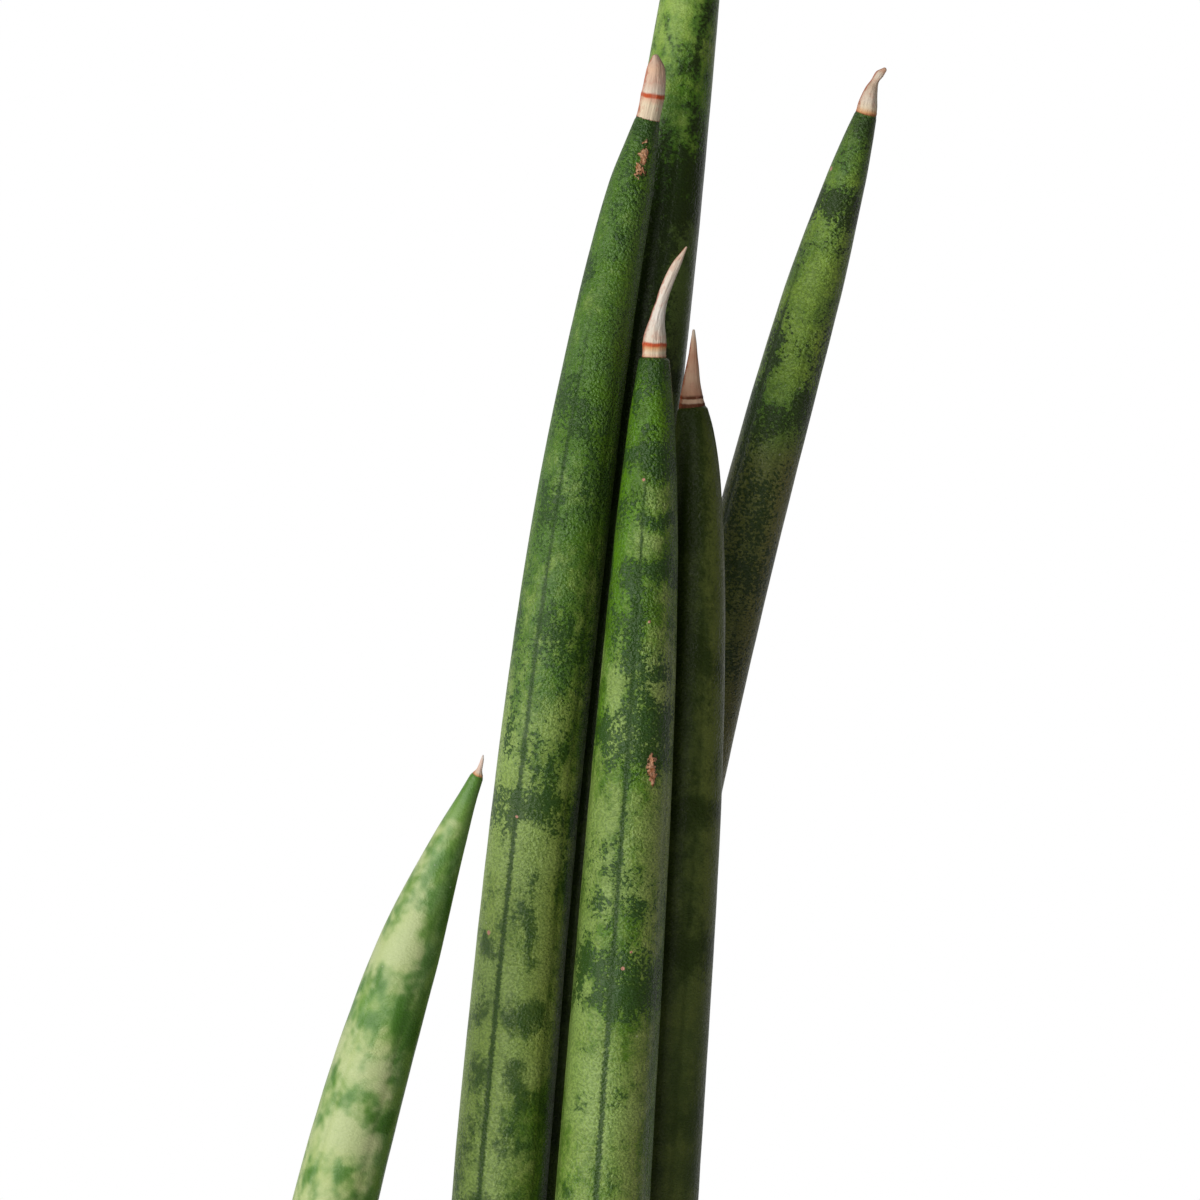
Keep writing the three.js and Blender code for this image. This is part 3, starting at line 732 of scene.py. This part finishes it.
def makeLeafMesh(name, leaf):
    line = leafLine(leaf)
    heights = ringHeights(leaf, line)
    frames = crossFrames(line, heights)
    form, sides, body, last = leafForm, leafForm["sides"], line["body"], len(heights) - 1
    rng = random.Random(name)
    marks = list(leaf["marks"]) + wildMarks(leaf, body, rng)
    drift = Vector((rng.uniform(0, 90), rng.uniform(0, 90), 0))
    dryTurn = rng.uniform(0, math.tau)

    bm = bmesh.new()
    space = bm.verts.layers.float_vector.new("leafSpace")
    layers = [bm.verts.layers.float.new(label) for label in ("mark", "shade", "scab")]
    markLayer, shadeLayer, scabLayer = layers
    bmesh.ops.create_grid(bm, x_segments=sides, y_segments=last, size=1)
    mapForBaking(bm, heights)
    columns = [math.radians(leaf["furrow"]) + math.tau * k / sides for k in range(sides + 1)]
    furrows = [max(math.cos(form["furrowCount"] * (a - columns[0])), 0) for a in columns]
    channelTurn = math.radians(leaf["channel"])
    channels = []
    for angle in columns:
        offset = math.atan2(math.sin(angle - channelTurn), math.cos(angle - channelTurn))
        channels.append(math.exp(-((offset / form["channelHalfAngle"]) ** 2)))

    # the flat grid rolled up round the centre line
    for v in bm.verts:
        column, row = round((v.co.x + 1) / 2 * sides), round((v.co.y + 1) / 2 * last)
        angle, below = columns[column], body - heights[row]
        turn = math.degrees(angle)
        radius = 0.0
        if 0 < row < last:
            radius = skinRadius(leaf, line, heights[row], furrows[column], channels[column])
        place = Vector((math.sin(angle), math.cos(angle), 0)) * radius
        place.z = below
        cover = 0.0
        if below > 0:
            wave = noise.noise(place / form["waveLength"] + drift)
            radius += form["skinWave"] * wave * min(below / 20, 1) * (radius > 0)
            sway = noise.noise(Vector((place.x, place.y, below * 0.5)) / 6 + drift * 2) * form["markSway"]
            density = leaf["mark"] + markAt(marks, below + sway, turn + wave * form["markTurn"])
            v[markLayer] = min(max(density, form["fewestGrains"]), form["mostGrains"])
            shade = leaf["shade"] + markAt(leaf["shades"], below, turn)
            v[shadeLayer] = shade + form["markShade"] * (density - leaf["mark"])
            if "scab" in leaf:
                cover = max(form["scabReach"] - reachFrom(leaf["scab"], below, turn), 0)
            if cover:
                radius += scabLift(cover, place, leaf["scab"][4])
        elif radius > 0.02:
            radius = dryRadius(leaf, radius, -below, angle, dryTurn)
        v[scabLayer] = cover
        v[space] = Vector((math.sin(angle) * radius, math.cos(angle) * radius, below))
        centre, side, front = frames[row]
        v.co = (centre + (side * math.sin(angle) + front * math.cos(angle)) * radius) * mm
    seal(bm)
    return bm


skinForm = {
    "patchScale": 0.28,     # broad ragged patches, the larger the number the finer
    "patchShare": 1.25,
    "clumpScale": 0.6,      # clumps of grains, about 2 mm
    "clumpShare": 0.8,
    "grainScale": 1.45,     # single grains, about 0.7 mm
    "grainShare": 0.42,     # painted shade between the skin's pebbles, along the grain noise that shapes them
    "wrinkles": 0.9,
    "calmFrom": 110,        # mm below the dry tip where the pattern starts to get softer
    "calmTo": 175,
    "calmShare": 0.4,
    "calmBlur": 3,
    "darkness": (0.94, 0.82),
    "topShade": 0.6,        # the green right below the dry tip
    "topShadeTo": 10,
    "lineWidth": (0.2, 0.5),    # half width of a furrow's dark line in mm, high and low on the leaf
    "lineFray": 1.6,
    "lineFadeIn": 22,
    "otherLines": 0.3,      # strength of the lines in the leaf's other furrows
    "fleck": "cfd6c0",
    "fleckShare": 0.35,
    "spot": "d69a86",
    "crust": ("bb7a48", "deb088"),
    # painted shade: the olive tint multiplied over each leaf's side away from the light
    "shadeSideTint": "ffecf6",
    "dryFibres": "c08a66",
    "dryFlush": "dc9a80",
    "dryEdge": "b8532e",
    "waver": 0.5,           # mm that the dry tip's border moves up and down
    "gloss": (0.26, 0.42),
    "dryGloss": 0.75,
    "bumpDepth": 0.0004,
}


def readLeaf(tree, leaf):
    # what the mesh tells about each place on the leaf, and the noises that its patterns share
    form, at = skinForm, SimpleNamespace()
    read = [addNode(tree, "ShaderNodeAttribute", attribute_name=label).outputs
            for label in ("leafSpace", "mark", "shade", "scab")]
    at.place = read[0]["Vector"]
    at.mark, at.shade, at.scab = (outputs["Fac"] for outputs in read[1:])
    at.x, at.y, at.below = addNode(tree, "ShaderNodeSeparateXYZ", {0: at.place}).outputs
    at.radius = calc(tree, "SQRT", calc(tree, "ADD", calc(tree, "MULTIPLY", at.x, at.x),
                                        calc(tree, "MULTIPLY", at.y, at.y)))
    at.aside = calc(tree, "DIVIDE", at.x, at.radius)
    at.patches = mottle(tree, at.place, form["patchScale"], leaf["detail"], 0.6, (1, 1, 0.7))
    at.clumps = mottle(tree, at.place, form["clumpScale"], leaf["detail"] * 0.7, 0.6)
    at.grains = mottle(tree, at.place, form["grainScale"], 2.0, 0.6, (1, 1, 1.15))
    at.cloud = mottle(tree, at.place, 0.07, 2.0)
    at.skin = useGroup(tree, skinGrain, Place=at.place, Across=form["wrinkles"])
    return at


def calmer(tree, at, high, low):
    # a value that changes from high to low where the pattern gets softer
    return rise(tree, at.below, skinForm["calmFrom"], skinForm["calmTo"], high, low)


def darkGrains(tree, leaf, at):
    # where the dark grains lie: a density from marks, patches and clumps, met by each grain's own limit
    density = calc(tree, "ADD", at.mark, swing(tree, at.patches, skinForm["patchShare"]))
    density = calc(tree, "ADD", density, swing(tree, at.clumps, skinForm["clumpShare"]))
    limit = rise(tree, at.grains, 0.32, 0.68, -0.5, 0.5, "LINEAR")
    spread = calmer(tree, at, leaf["grains"], leaf["grains"] * skinForm["calmShare"])
    soft = calmer(tree, at, leaf["softness"], leaf["softness"] * skinForm["calmBlur"])
    limit = calc(tree, "MULTIPLY", limit, spread)
    over = calc(tree, "SUBTRACT", calc(tree, "SUBTRACT", density, 0.5), limit)
    return rise(tree, calc(tree, "DIVIDE", over, soft), -1, 1)


def furrowLines(tree, leaf, at):
    # the thin dark line in each furrow, strongest in the leaf's first one
    form, count, turn = skinForm, leafForm["furrowCount"], math.radians(leaf["furrow"])
    phase = calc(tree, "MULTIPLY_ADD", calc(tree, "ARCTAN2", at.x, at.y), count, -count * turn)
    apart = calc(tree, "ARCCOSINE", calc(tree, "COSINE", phase))
    apart = calc(tree, "MULTIPLY", apart, calc(tree, "DIVIDE", at.radius, count))
    fray = calc(tree, "MULTIPLY_ADD", at.grains, -form["lineFray"], form["lineFray"] / 2)
    width = rise(tree, at.below, form["calmFrom"] / 2, form["calmTo"], *form["lineWidth"])
    beyond = calc(tree, "SUBTRACT", calc(tree, "ADD", apart, fray), width)
    line = rise(tree, beyond, -0.2, 0.4, leaf["lineStrength"], 0.0)
    start = calc(tree, "MULTIPLY_ADD", at.patches, 20, at.below)
    begin = rise(tree, start, leaf["lineFrom"], leaf["lineFrom"] + form["lineFadeIn"])
    facing = calc(tree, "MULTIPLY_ADD", at.x, math.sin(turn), calc(tree, "MULTIPLY", at.y, math.cos(turn)))
    first = rise(tree, calc(tree, "DIVIDE", facing, at.radius), 0.7, 0.85, form["otherLines"], 1.0)
    return calc(tree, "MULTIPLY", calc(tree, "MULTIPLY", line, begin), first)


def greenSkin(tree, leaf, at, darkness, crust):
    # how far the skin between the grains is mid green instead of pale
    form = skinForm
    blotches = calc(tree, "MULTIPLY_ADD", at.clumps, leaf["blotches"], -1.1 - leaf["blotches"] / 2)
    uneven = calc(tree, "ADD", calc(tree, "MULTIPLY_ADD", at.cloud, 1.2, at.patches), blotches)
    midness = rise(tree, calc(tree, "MULTIPLY_ADD", uneven, leaf["mottling"], at.shade), 0.1, 0.95)
    skin = blendColors(tree, midness, twoTone(tree, at.cloud, (0.35, 0.65), leaf["pale"]),
                       twoTone(tree, at.patches, (0.35, 0.65), leaf["mid"]))
    # painted shade: an olive paint low on leaves that stand in the shadow of the leaves in front
    if "low" in leaf:
        paint, start, end, share = leaf["low"]
        skin = paintOver(tree, skin, (rise(tree, at.below, start, end, 0, share), paint))

    # the dark pattern over it
    darkTone = twoTone(tree, at.clumps, (0.38, 0.62), leaf["dark"])
    # painted shade: the skin darkened along the grain noise that also shapes its pebbles
    pebbleShade = rise(tree, at.skin["Grain"], 0.36, 0.66, 0.0, form["grainShare"] * leaf["grains"])
    skin = blendColors(tree, pebbleShade, skin, darkTone)
    topShade = rise(tree, at.below, 1, form["topShadeTo"], form["topShade"], 0.0)
    dark = calc(tree, "MULTIPLY", darkness, calmer(tree, at, *form["darkness"]))
    skin = blendColors(tree, calc(tree, "MAXIMUM", dark, topShade), skin, darkTone)
    flecks = calc(tree, "MULTIPLY", at.skin["Fleck"], form["fleckShare"])
    skin = paintOver(tree, skin, (furrowLines(tree, leaf, at), leaf["dark"][0]), (flecks, form["fleck"]))

    # spots and scabs, and painted shade: the side away from the light tinted olive
    for below, turn, size in leaf.get("spots", ()):
        radius, angle = leafRadius(leaf, 10000, 10000 + below), math.radians(turn)
        centre = (math.sin(angle) * radius, math.cos(angle) * radius, below)
        mask = useGroup(tree, spot, Place=at.place, Centre=centre, Radius=size)["Mask"]
        skin = paintOver(tree, skin, (mask, form["spot"]))
    skin = blendColors(tree, crust, skin, twoTone(tree, at.grains, (0.35, 0.65), form["crust"]))
    olive = rise(tree, at.aside, 0, 0.8, 0, leaf["olive"])
    return blendColors(tree, olive, skin, tone(form["shadeSideTint"]), "MULTIPLY")


def drySkin(tree, leaf, at, up, fibres, tipLength):
    # the dry tip's tones by the distance up it, with its fibres, flushes and rusty left edge
    ramp = addNode(tree, "ShaderNodeValToRGB", {0: calc(tree, "DIVIDE", up, tipLength)})
    stops = ramp.color_ramp.elements
    stops.remove(stops[1])
    for index, (height, label) in enumerate(leaf["dryTones"]):
        stop = stops.new(height / tipLength) if index else stops[0]
        stop.position = min(height / tipLength, 1)
        stop.color = tone(dryTones[label])
    edge = calc(tree, "ADD", swing(tree, at.clumps, 0.9), at.aside)
    return paintOver(tree, ramp.outputs[0],
                     (rise(tree, fibres, 0.45, 0.75, 0.0, 0.22), skinForm["dryFibres"]),
                     (rise(tree, at.clumps, 0.5, 0.66, 0.0, 0.35), skinForm["dryFlush"]),
                     (rise(tree, edge, -1, -0.7, 0.75, 0.0), skinForm["dryEdge"]))


def makeLeafMaterial(name, leaf, tipLength):
    form = skinForm
    material, tree = newMaterial(name + "_skin")
    at = readLeaf(tree, leaf)
    darkness = darkGrains(tree, leaf, at)
    crust = calc(tree, "MULTIPLY_ADD", at.clumps, 3.2, calc(tree, "MULTIPLY_ADD", at.grains, 1.6, at.scab))
    crust = calc(tree, "MULTIPLY", rise(tree, crust, 2.85, 3.05), rise(tree, at.scab, 0.1, 0.4))
    skin = greenSkin(tree, leaf, at, darkness, crust)

    # the dry tip, whose border with the green wavers a little
    waver = mottle(tree, at.place, 0.5, 2.0)
    border = calc(tree, "SUBTRACT", form["waver"] / 2, at.below)
    up = calc(tree, "MULTIPLY_ADD", waver, -form["waver"], border)
    fibres = mottle(tree, at.place, 1.6, 3.0, 0.6, (1, 1, 0.12))
    dryMask = rise(tree, up, -0.1, 0.1)
    color = blendColors(tree, dryMask, skin, drySkin(tree, leaf, at, up, fibres, tipLength))

    gloss = rise(tree, at.skin["Grain"], 0.3, 0.7, *form["gloss"])
    gloss = blendValues(tree, calc(tree, "MAXIMUM", dryMask, crust), gloss, form["dryGloss"])
    height = calc(tree, "MULTIPLY_ADD", darkness, 0.12, at.skin["Height"])
    height = calc(tree, "ADD", height, calc(tree, "MULTIPLY", crust, 1.5))
    height = calc(tree, "MULTIPLY", height, rise(tree, at.below, 50, 120, 1.6, 1.0))
    height = blendValues(tree, dryMask, height, calc(tree, "MULTIPLY", fibres, 0.8))
    dress(tree, color, gloss, height, (form["bumpDepth"], leaf["relief"]))
    tree.nodes["Principled BSDF"].inputs["Specular IOR Level"].default_value = leaf["sheen"]
    return material


for name, leaf in leaves.items():
    tipLength = leafLine(leaf)["tip"]
    piece = toObject(name + "_fine", makeLeafMesh(name, leaf), [makeLeafMaterial(name, leaf, tipLength)])
    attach(piece, "root")
    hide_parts(name)
    print("leaf made:", name, len(piece.data.polygons), "faces")


# Pot

potForm = {
    "height": 124,
    "baseRadius": 54,
    "topRadius": 70,
    "wall": 5,
    "floor": 7,
    "rimHeight": 27,
    "rimOverhang": 3.5,
    "edgeRound": 1.8,
    "floorRound": 4,
    "roundSegments": 4,
    "sides": 168,
    "rowHeight": 2.2,       # between the rings that carry the turning marks
    "wobble": 0.16,
    "turningMarks": 0.05,
    "clay": ("b2694a", "bf7a58"),
    "damp": "8f4f37",
    "dampTo": 0.075,        # metres above the ground
    "lime": "dcc7b6",
    "limeFrom": 0.06,
    "pits": "7c4632",
    "dust": "d29a78",
    "wornEdge": "d3a283",
    "relief": (0.00035, 0.5),
}


def wallRadius(height):
    base, top = potForm["baseRadius"], potForm["topRadius"]
    return base + (top - base) * height / potForm["height"]


def makeClayMaterial():
    form = potForm
    material, tree, place, surface = newDusty("earthenware_clay", 1.0)
    clouds, pits, fine = (surface[label] for label in ("Clouds", "Pits", "Fine"))
    height = addNode(tree, "ShaderNodeSeparateXYZ", {0: place}).outputs[2]
    damp = calc(tree, "MULTIPLY_ADD", clouds, 0.03, height)
    lime = calc(tree, "MULTIPLY", rise(tree, clouds, 0.56, 0.72), rise(tree, fine, 0.4, 0.6))
    lime = calc(tree, "MULTIPLY", lime, rise(tree, height, form["limeFrom"], form["limeFrom"] + 0.04))
    worn = addNode(tree, "ShaderNodeNewGeometry").outputs["Pointiness"]
    clay = paintOver(tree, twoTone(tree, clouds, (0.35, 0.65), form["clay"]),
                     (rise(tree, damp, 0.03, form["dampTo"], 0.45, 0.0), form["damp"]),
                     (calc(tree, "MULTIPLY", lime, 0.55), form["lime"]),
                     (calc(tree, "MULTIPLY", pits, 0.5), form["pits"]),
                     (rise(tree, fine, 0.35, 0.7, 0.0, 0.25), form["dust"]),
                     (rise(tree, worn, 0.51, 0.56, 0.0, 0.5), form["wornEdge"]))
    dress(tree, clay, rise(tree, fine, 0.2, 0.8, 0.78, 0.95), calc(tree, "SUBTRACT", fine, pits),
          form["relief"])
    return material


def makePot():
    form = potForm
    rimBottom = form["height"] - form["rimHeight"]
    rimRadius = form["topRadius"] + form["rimOverhang"]
    corners = (             # radius, height and rounding
        (0, 0, 0),
        (form["baseRadius"], 0, form["edgeRound"]),
        (wallRadius(rimBottom), rimBottom, 0),
        (rimRadius, rimBottom, form["edgeRound"]),
        (rimRadius, form["height"], form["edgeRound"]),
        (wallRadius(form["height"]) - form["wall"], form["height"], form["edgeRound"]),
        (wallRadius(form["floor"]) - form["wall"], form["floor"], form["floorRound"]),
        (0, form["floor"], 0),
    )
    bm = bmesh.new()
    outline = drawOutline(bm, [corner[:2] for corner in corners])
    for size in (form["edgeRound"], form["floorRound"]):
        chosen = [v for v, corner in zip(outline, corners) if corner[2] == size]
        bmesh.ops.bevel(bm, geom=chosen, affect="VERTICES", offset=size * mm, offset_type="OFFSET",
                        segments=form["roundSegments"], profile=0.5, material=-1)
    for edge in list(bm.edges):
        cuts = int(edge.calc_length() / (form["rowHeight"] * mm))
        if cuts:
            bmesh.ops.subdivide_edges(bm, edges=[edge], cuts=cuts)
    turnOutline(bm, form["sides"])
    for v in bm.verts:
        radius = math.hypot(v.co.x, v.co.y)
        if radius > form["baseRadius"] * 0.6 * mm and v.co.z > 0.5 * mm:
            wave = noise.noise(v.co * 25) * form["wobble"]
            marks = math.sin(v.co.z / mm * 2.1 + 3 * noise.noise(v.co * 9)) * form["turningMarks"]
            push = (wave + marks) * mm / radius
            v.co.x *= 1 + push
            v.co.y *= 1 + push
    return bm


pot = toObject("earthenware_pot", makePot(), [makeClayMaterial()])
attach(pot, "root")
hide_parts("pot")
print("pot made:", len(pot.data.polygons), "faces")


# Soil

soilForm = {
    "level": 110,
    "lump": 1.3,
    "fitGap": 0.3,
    "sides": 220,
    "rings": 78,
    "crumbRelief": 0.75,
    "edgeRoom": 0.4,        # how far from the pot the lumps begin
    "holeGap": 0.35,
    "holeSides": 28,
    "holeHeights": (-1, 4, 9, 14, 19, 26, 36),      # along a leaf from its foot, past the surface
    "surfaceHeights": (23, 27, 31),     # along a leaf, where it comes out of the soil
    "earth": ("2b1e16", "4a3526"),
    "grains": "6b4f39",
    "pores": "120c09",
    "relief": (0.0008, 0.8),
    "looseRelief": (0.0004, 0.7),
    "spread": 63,
    "stretch": 1.2,
    "shortest": 0.5,        # a bit's width as a share of its length
    "tilt": 0.5,
    "turn": 6.28,
    "lift": 0.12,
    "roughen": 0.22,
    "seed": 5,
}

# How many there are, their size in mm, and their thickness as a share of it
looseBits = {
    "crumb": {"count": 900, "size": (0.5, 1.9), "flatness": (0.7, 1.3)},
    "bark": {"count": 150, "size": (1.4, 3.4), "flatness": (0.22, 0.4),
             "tones": ("4a3020", "7a5236"), "roughness": 0.95},
    "grit": {"count": 110, "size": (0.7, 1.6), "flatness": (0.75, 1.1),
             "tones": ("a9a294", "d9d4c8"), "roughness": 0.9},
}


def soilHeight(x, y):
    coarse = math.sin(x * 0.31 + 1.3) * math.cos(y * 0.27 - 0.4)
    small = math.sin(x * 0.73 - y * 0.55) * math.cos(y * 0.81 + x * 0.22 + 2)
    return soilForm["lump"] * (0.6 * coarse + 0.4 * small)


def crumble(x, y):
    # lumps and crumbs of the surface, in mm above the level
    place = Vector((x, y, 0))
    lumps = noise.noise(place / 4.2) * 0.6 + noise.noise(place / 1.7) * 0.4
    return soilHeight(x, y) + soilForm["crumbRelief"] * (lumps + 0.25 * noise.noise(place / 0.8))


def makeSoilMaterial():
    material, tree, place, surface = newDusty("potting_mix", 2.2)
    fine = surface["Fine"]
    earth = blendColors(tree, surface["Clouds"], *(tone(paint) for paint in soilForm["earth"]))
    earth = paintOver(tree, earth, (rise(tree, fine, 0.5, 0.75, 0.0, 0.7), soilForm["grains"]),
                      (calc(tree, "MULTIPLY", surface["Pits"], 0.6), soilForm["pores"]))
    dress(tree, earth, rise(tree, fine, 0.3, 0.7, 0.85, 1.0), fine, soilForm["relief"])
    return material


def makeLooseMaterial(name, kind):
    # each bit has its own tone between the two
    material, tree, place, surface = newDusty(name, 3.0)
    (dark, light), rough, fine = kind["tones"], kind["roughness"], surface["Fine"]
    island = addNode(tree, "ShaderNodeNewGeometry").outputs["Random Per Island"]
    body = blendColors(tree, island, tone(dark), tone(light))
    body = paintOver(tree, body, (rise(tree, fine, 0.35, 0.7, 0.0, 0.6), dark))
    dress(tree, body, rise(tree, fine, 0.3, 0.7, rough - 0.1, rough), fine, soilForm["looseRelief"])
    return material


def soilSide(height):
    return wallRadius(height) - potForm["wall"] - soilForm["fitGap"]


def makeSoilBody():
    level, rings = soilForm["level"], soilForm["rings"]
    bottom, corner = potForm["floor"] + soilForm["fitGap"], potForm["floorRound"]
    outline = [(0, bottom), (soilSide(bottom) - corner, bottom)]
    outline += [(soilSide(bottom + corner), bottom + corner)]
    outline += [(soilSide(level) * ring / rings, level) for ring in range(rings, -1, -1)]
    bm = bmesh.new()
    drawOutline(bm, outline)
    turnOutline(bm, soilForm["sides"])
    for v in bm.verts:
        x, y, z = v.co / mm
        if z > level - soilForm["lump"]:
            fade = min(max(soilSide(level) - math.hypot(x, y) - soilForm["edgeRoom"], 0) / 2, 1)
            v.co.z += crumble(x, y) * fade * mm
    return bm


def makeLeafHoles():
    # plain holes that the leaves stand in: each leaf's own outline, a little wider
    bm = bmesh.new()
    heights = soilForm["holeHeights"]
    for leaf in leaves.values():
        line = leafLine(leaf)
        ring = bmesh.ops.create_circle(bm, cap_ends=True, segments=soilForm["holeSides"], radius=1)["verts"]
        turns = [math.atan2(v.co.x, v.co.y) for v in ring]
        for height, (centre, side, front) in zip(heights, crossFrames(line, heights)):
            if height > heights[0]:
                found = [edge for v in ring for edge in v.link_edges if edge.other_vert(v) in ring]
                grown = bmesh.ops.extrude_edge_only(bm, edges=list(dict.fromkeys(found)))["geom"]
                ring = [item for item in grown if isinstance(item, bmesh.types.BMVert)]
                turns = [math.atan2((v.co - low).dot(lowSide), (v.co - low).dot(lowFront)) for v in ring]
            radius = leafRadius(leaf, max(height, 0), line["body"]) + soilForm["holeGap"]
            low, lowSide, lowFront = centre * mm, side, front
            for v, turn in zip(ring, turns):
                v.co = (centre + (side * math.sin(turn) + front * math.cos(turn)) * radius) * mm
        bmesh.ops.contextual_create(bm, geom=ring)
    bmesh.ops.recalc_face_normals(bm, faces=bm.faces)
    return bm


def leafFeet():
    # where each leaf comes out of the soil: two points on its middle line, and its radius there
    low, middle, high = soilForm["surfaceHeights"]
    feet = []
    for leaf in leaves.values():
        line = leafLine(leaf)
        lowFoot, highFoot = (found[0] for found in crossFrames(line, (low, high)))
        feet.append((lowFoot, highFoot, leafRadius(leaf, middle, line["body"])))
    return feet


def clearOfLeaves(feet, x, y, room):
    # whether a loose bit of this reach stays clear of every leaf and of the pot
    for low, high, reach in feet:
        if min((Vector((x, y, end.z)) - end).length for end in (low, high)) < reach + room:
            return False
    return math.hypot(x, y) < soilSide(soilForm["level"]) - room - 0.3


def addLooseBits(bm):
    form, feet = soilForm, leafFeet()
    rng = random.Random(form["seed"])
    noise.seed_set(form["seed"])
    for index, kind in enumerate(looseBits.values()):
        for _ in range(kind["count"]):
            size = rng.uniform(*kind["size"]) ** form["stretch"]
            away, angle = math.sqrt(rng.random()) * form["spread"], rng.uniform(0, math.tau)
            x, y = math.cos(angle) * away, math.sin(angle) * away
            shape = Matrix.Diagonal((size, size * rng.uniform(form["shortest"], 1),
                                     size * rng.uniform(*kind["flatness"]), 1))
            tilt = Matrix.Rotation(rng.uniform(-form["tilt"], form["tilt"]), 4, "X")
            tilt = tilt @ Matrix.Rotation(rng.uniform(0, form["turn"]), 4, "Z")
            if not clearOfLeaves(feet, x, y, size):
                continue
            height = form["level"] + crumble(x, y) + size * form["lift"]
            matrix = Matrix.Translation(Vector((x, y, height)) * mm) @ tilt @ shape @ Matrix.Scale(mm, 4)
            if index == 1:
                made = bmesh.ops.create_cube(bm, size=1.6, matrix=matrix)["verts"]
            else:
                made = bmesh.ops.create_icosphere(bm, subdivisions=1, radius=1, matrix=matrix)["verts"]
            for v in made:
                v.co += noise.noise_vector(v.co * 1700) * size * form["roughen"] * mm
                for face in v.link_faces:
                    face.material_index = index
                    face.smooth = index == 0


def cutHoles(piece):
    # the piece's mesh with the leaves' holes cut out, as a bmesh
    holes = toObject("leaf_holes", makeLeafHoles(), [])
    cut = piece.modifiers.new("holes", "BOOLEAN")
    cut.object = holes
    cut.operation = "DIFFERENCE"
    cut.solver = "EXACT"
    bpy.context.view_layer.update()
    cutMesh = bpy.data.meshes.new_from_object(piece.evaluated_get(bpy.context.evaluated_depsgraph_get()))
    piece.modifiers.remove(cut)
    bpy.data.objects.remove(holes)
    bm = bmesh.new()
    bm.from_mesh(cutMesh)
    return bm


soil = toObject("potting_soil", makeSoilBody(), [makeSoilMaterial()])
soilMesh = cutHoles(soil)
addLooseBits(soilMesh)
soilMesh.to_mesh(soil.data)
soilMesh.free()
soil.data.materials.append(makeLooseMaterial("bark_chips", looseBits["bark"]))
soil.data.materials.append(makeLooseMaterial("pale_grit", looseBits["grit"]))
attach(soil, "root")
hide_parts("soil")
print("soil made:", len(soil.data.polygons), "faces")


# Rhizome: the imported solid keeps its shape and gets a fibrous, buff skin

rhizomeForm = {
    "skin": ("b98247", "d9ab6c"),
    "fibres": "8a5a30",
    "pits": "3f2a1b",
    "fibreScale": 260,
    "relief": (0.0004, 0.6),
}


def makeRhizomeMaterial():
    form = rhizomeForm
    material, tree, place, surface = newDusty("rhizome_skin", 1.6)
    fibres = mottle(tree, place, form["fibreScale"], 3.0, 0.6, (0.25, 1, 1))
    skin = blendColors(tree, surface["Clouds"], *(tone(paint) for paint in form["skin"]))
    skin = paintOver(tree, skin, (rise(tree, fibres, 0.45, 0.65, 0.0, 0.6), form["fibres"]),
                     (calc(tree, "MULTIPLY", surface["Pits"], 0.4), form["pits"]))
    dress(tree, skin, rise(tree, fibres, 0.3, 0.7, 0.55, 0.8), fibres, form["relief"])
    return material


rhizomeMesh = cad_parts["rhizome"].data
rhizomeMesh.materials.clear()
rhizomeMesh.materials.append(makeRhizomeMaterial())
print("rhizome finished")


# Studio: a pale floor, a broad soft light from the left, and a white surround, in metres

studio = {
    "floorRadius": 1.25,
    "floorFade": 0.45,      # where the floor starts to fade into the surround
    "floor": ("e9e7e3", "f1efec"),
    "floorRoughness": 0.8,
    "keyPlace": (-0.86, -0.98, 0.62),
    "keyTarget": (0.02, 0, 0.42),
    "keySize": (1.9, 1.6),
    "keyPower": 21.7,
    "keyColor": (1.0, 0.985, 0.96),
    "frontGlow": 0.07,
    "backGlow": 0.55,
}


def makeFloor():
    bm = bmesh.new()
    bmesh.ops.create_circle(bm, cap_ends=True, segments=96, radius=studio["floorRadius"])
    material, tree = newMaterial("floorPaint")
    place = addNode(tree, "ShaderNodeTexCoord").outputs["Object"]
    away = addNode(tree, "ShaderNodeVectorMath", {0: place}, operation="LENGTH").outputs["Value"]
    shader = tree.nodes["Principled BSDF"].inputs
    paint = blendColors(tree, mottle(tree, place, 6, 3.0), *(tone(paint) for paint in studio["floor"]))
    tree.links.new(paint, shader["Base Color"])
    shader["Roughness"].default_value = studio["floorRoughness"]
    tree.links.new(rise(tree, away, studio["floorFade"], studio["floorRadius"], 1.0, 0.0), shader["Alpha"])
    floor = toObject("floor", bm, [material])


def makeKeyLight():
    data = bpy.data.lights.new("key", "AREA")
    data.shape = "RECTANGLE"
    data.size, data.size_y = studio["keySize"]
    data.energy = studio["keyPower"]
    data.color = studio["keyColor"]
    light = bpy.data.objects.new("key", data)
    bpy.context.scene.collection.objects.link(light)
    light.location = studio["keyPlace"]
    aim = Vector(studio["keyTarget"]) - light.location
    light.rotation_euler = aim.to_track_quat("-Z", "Y").to_euler()
    light.visible_camera = False


def makeSurround():
    world = bpy.data.worlds.new("surround")
    world.use_nodes = True
    tree = world.node_tree
    background = tree.nodes["Background"]
    direction = addNode(tree, "ShaderNodeTexCoord").outputs["Generated"]
    towardsBack = addNode(tree, "ShaderNodeSeparateXYZ", {0: direction}).outputs[1]
    glow = rise(tree, towardsBack, 0.1, 0.7, studio["frontGlow"], studio["backGlow"])
    seen = addNode(tree, "ShaderNodeLightPath").outputs["Is Camera Ray"]
    tree.links.new(blendValues(tree, seen, glow, 1.0), background.inputs["Strength"])
    background.inputs["Color"].default_value = (1, 1, 1, 1)
    bpy.context.scene.world = world


makeFloor()
makeKeyLight()
makeSurround()
bpy.context.scene.view_settings.view_transform = "Standard"
print("studio made")
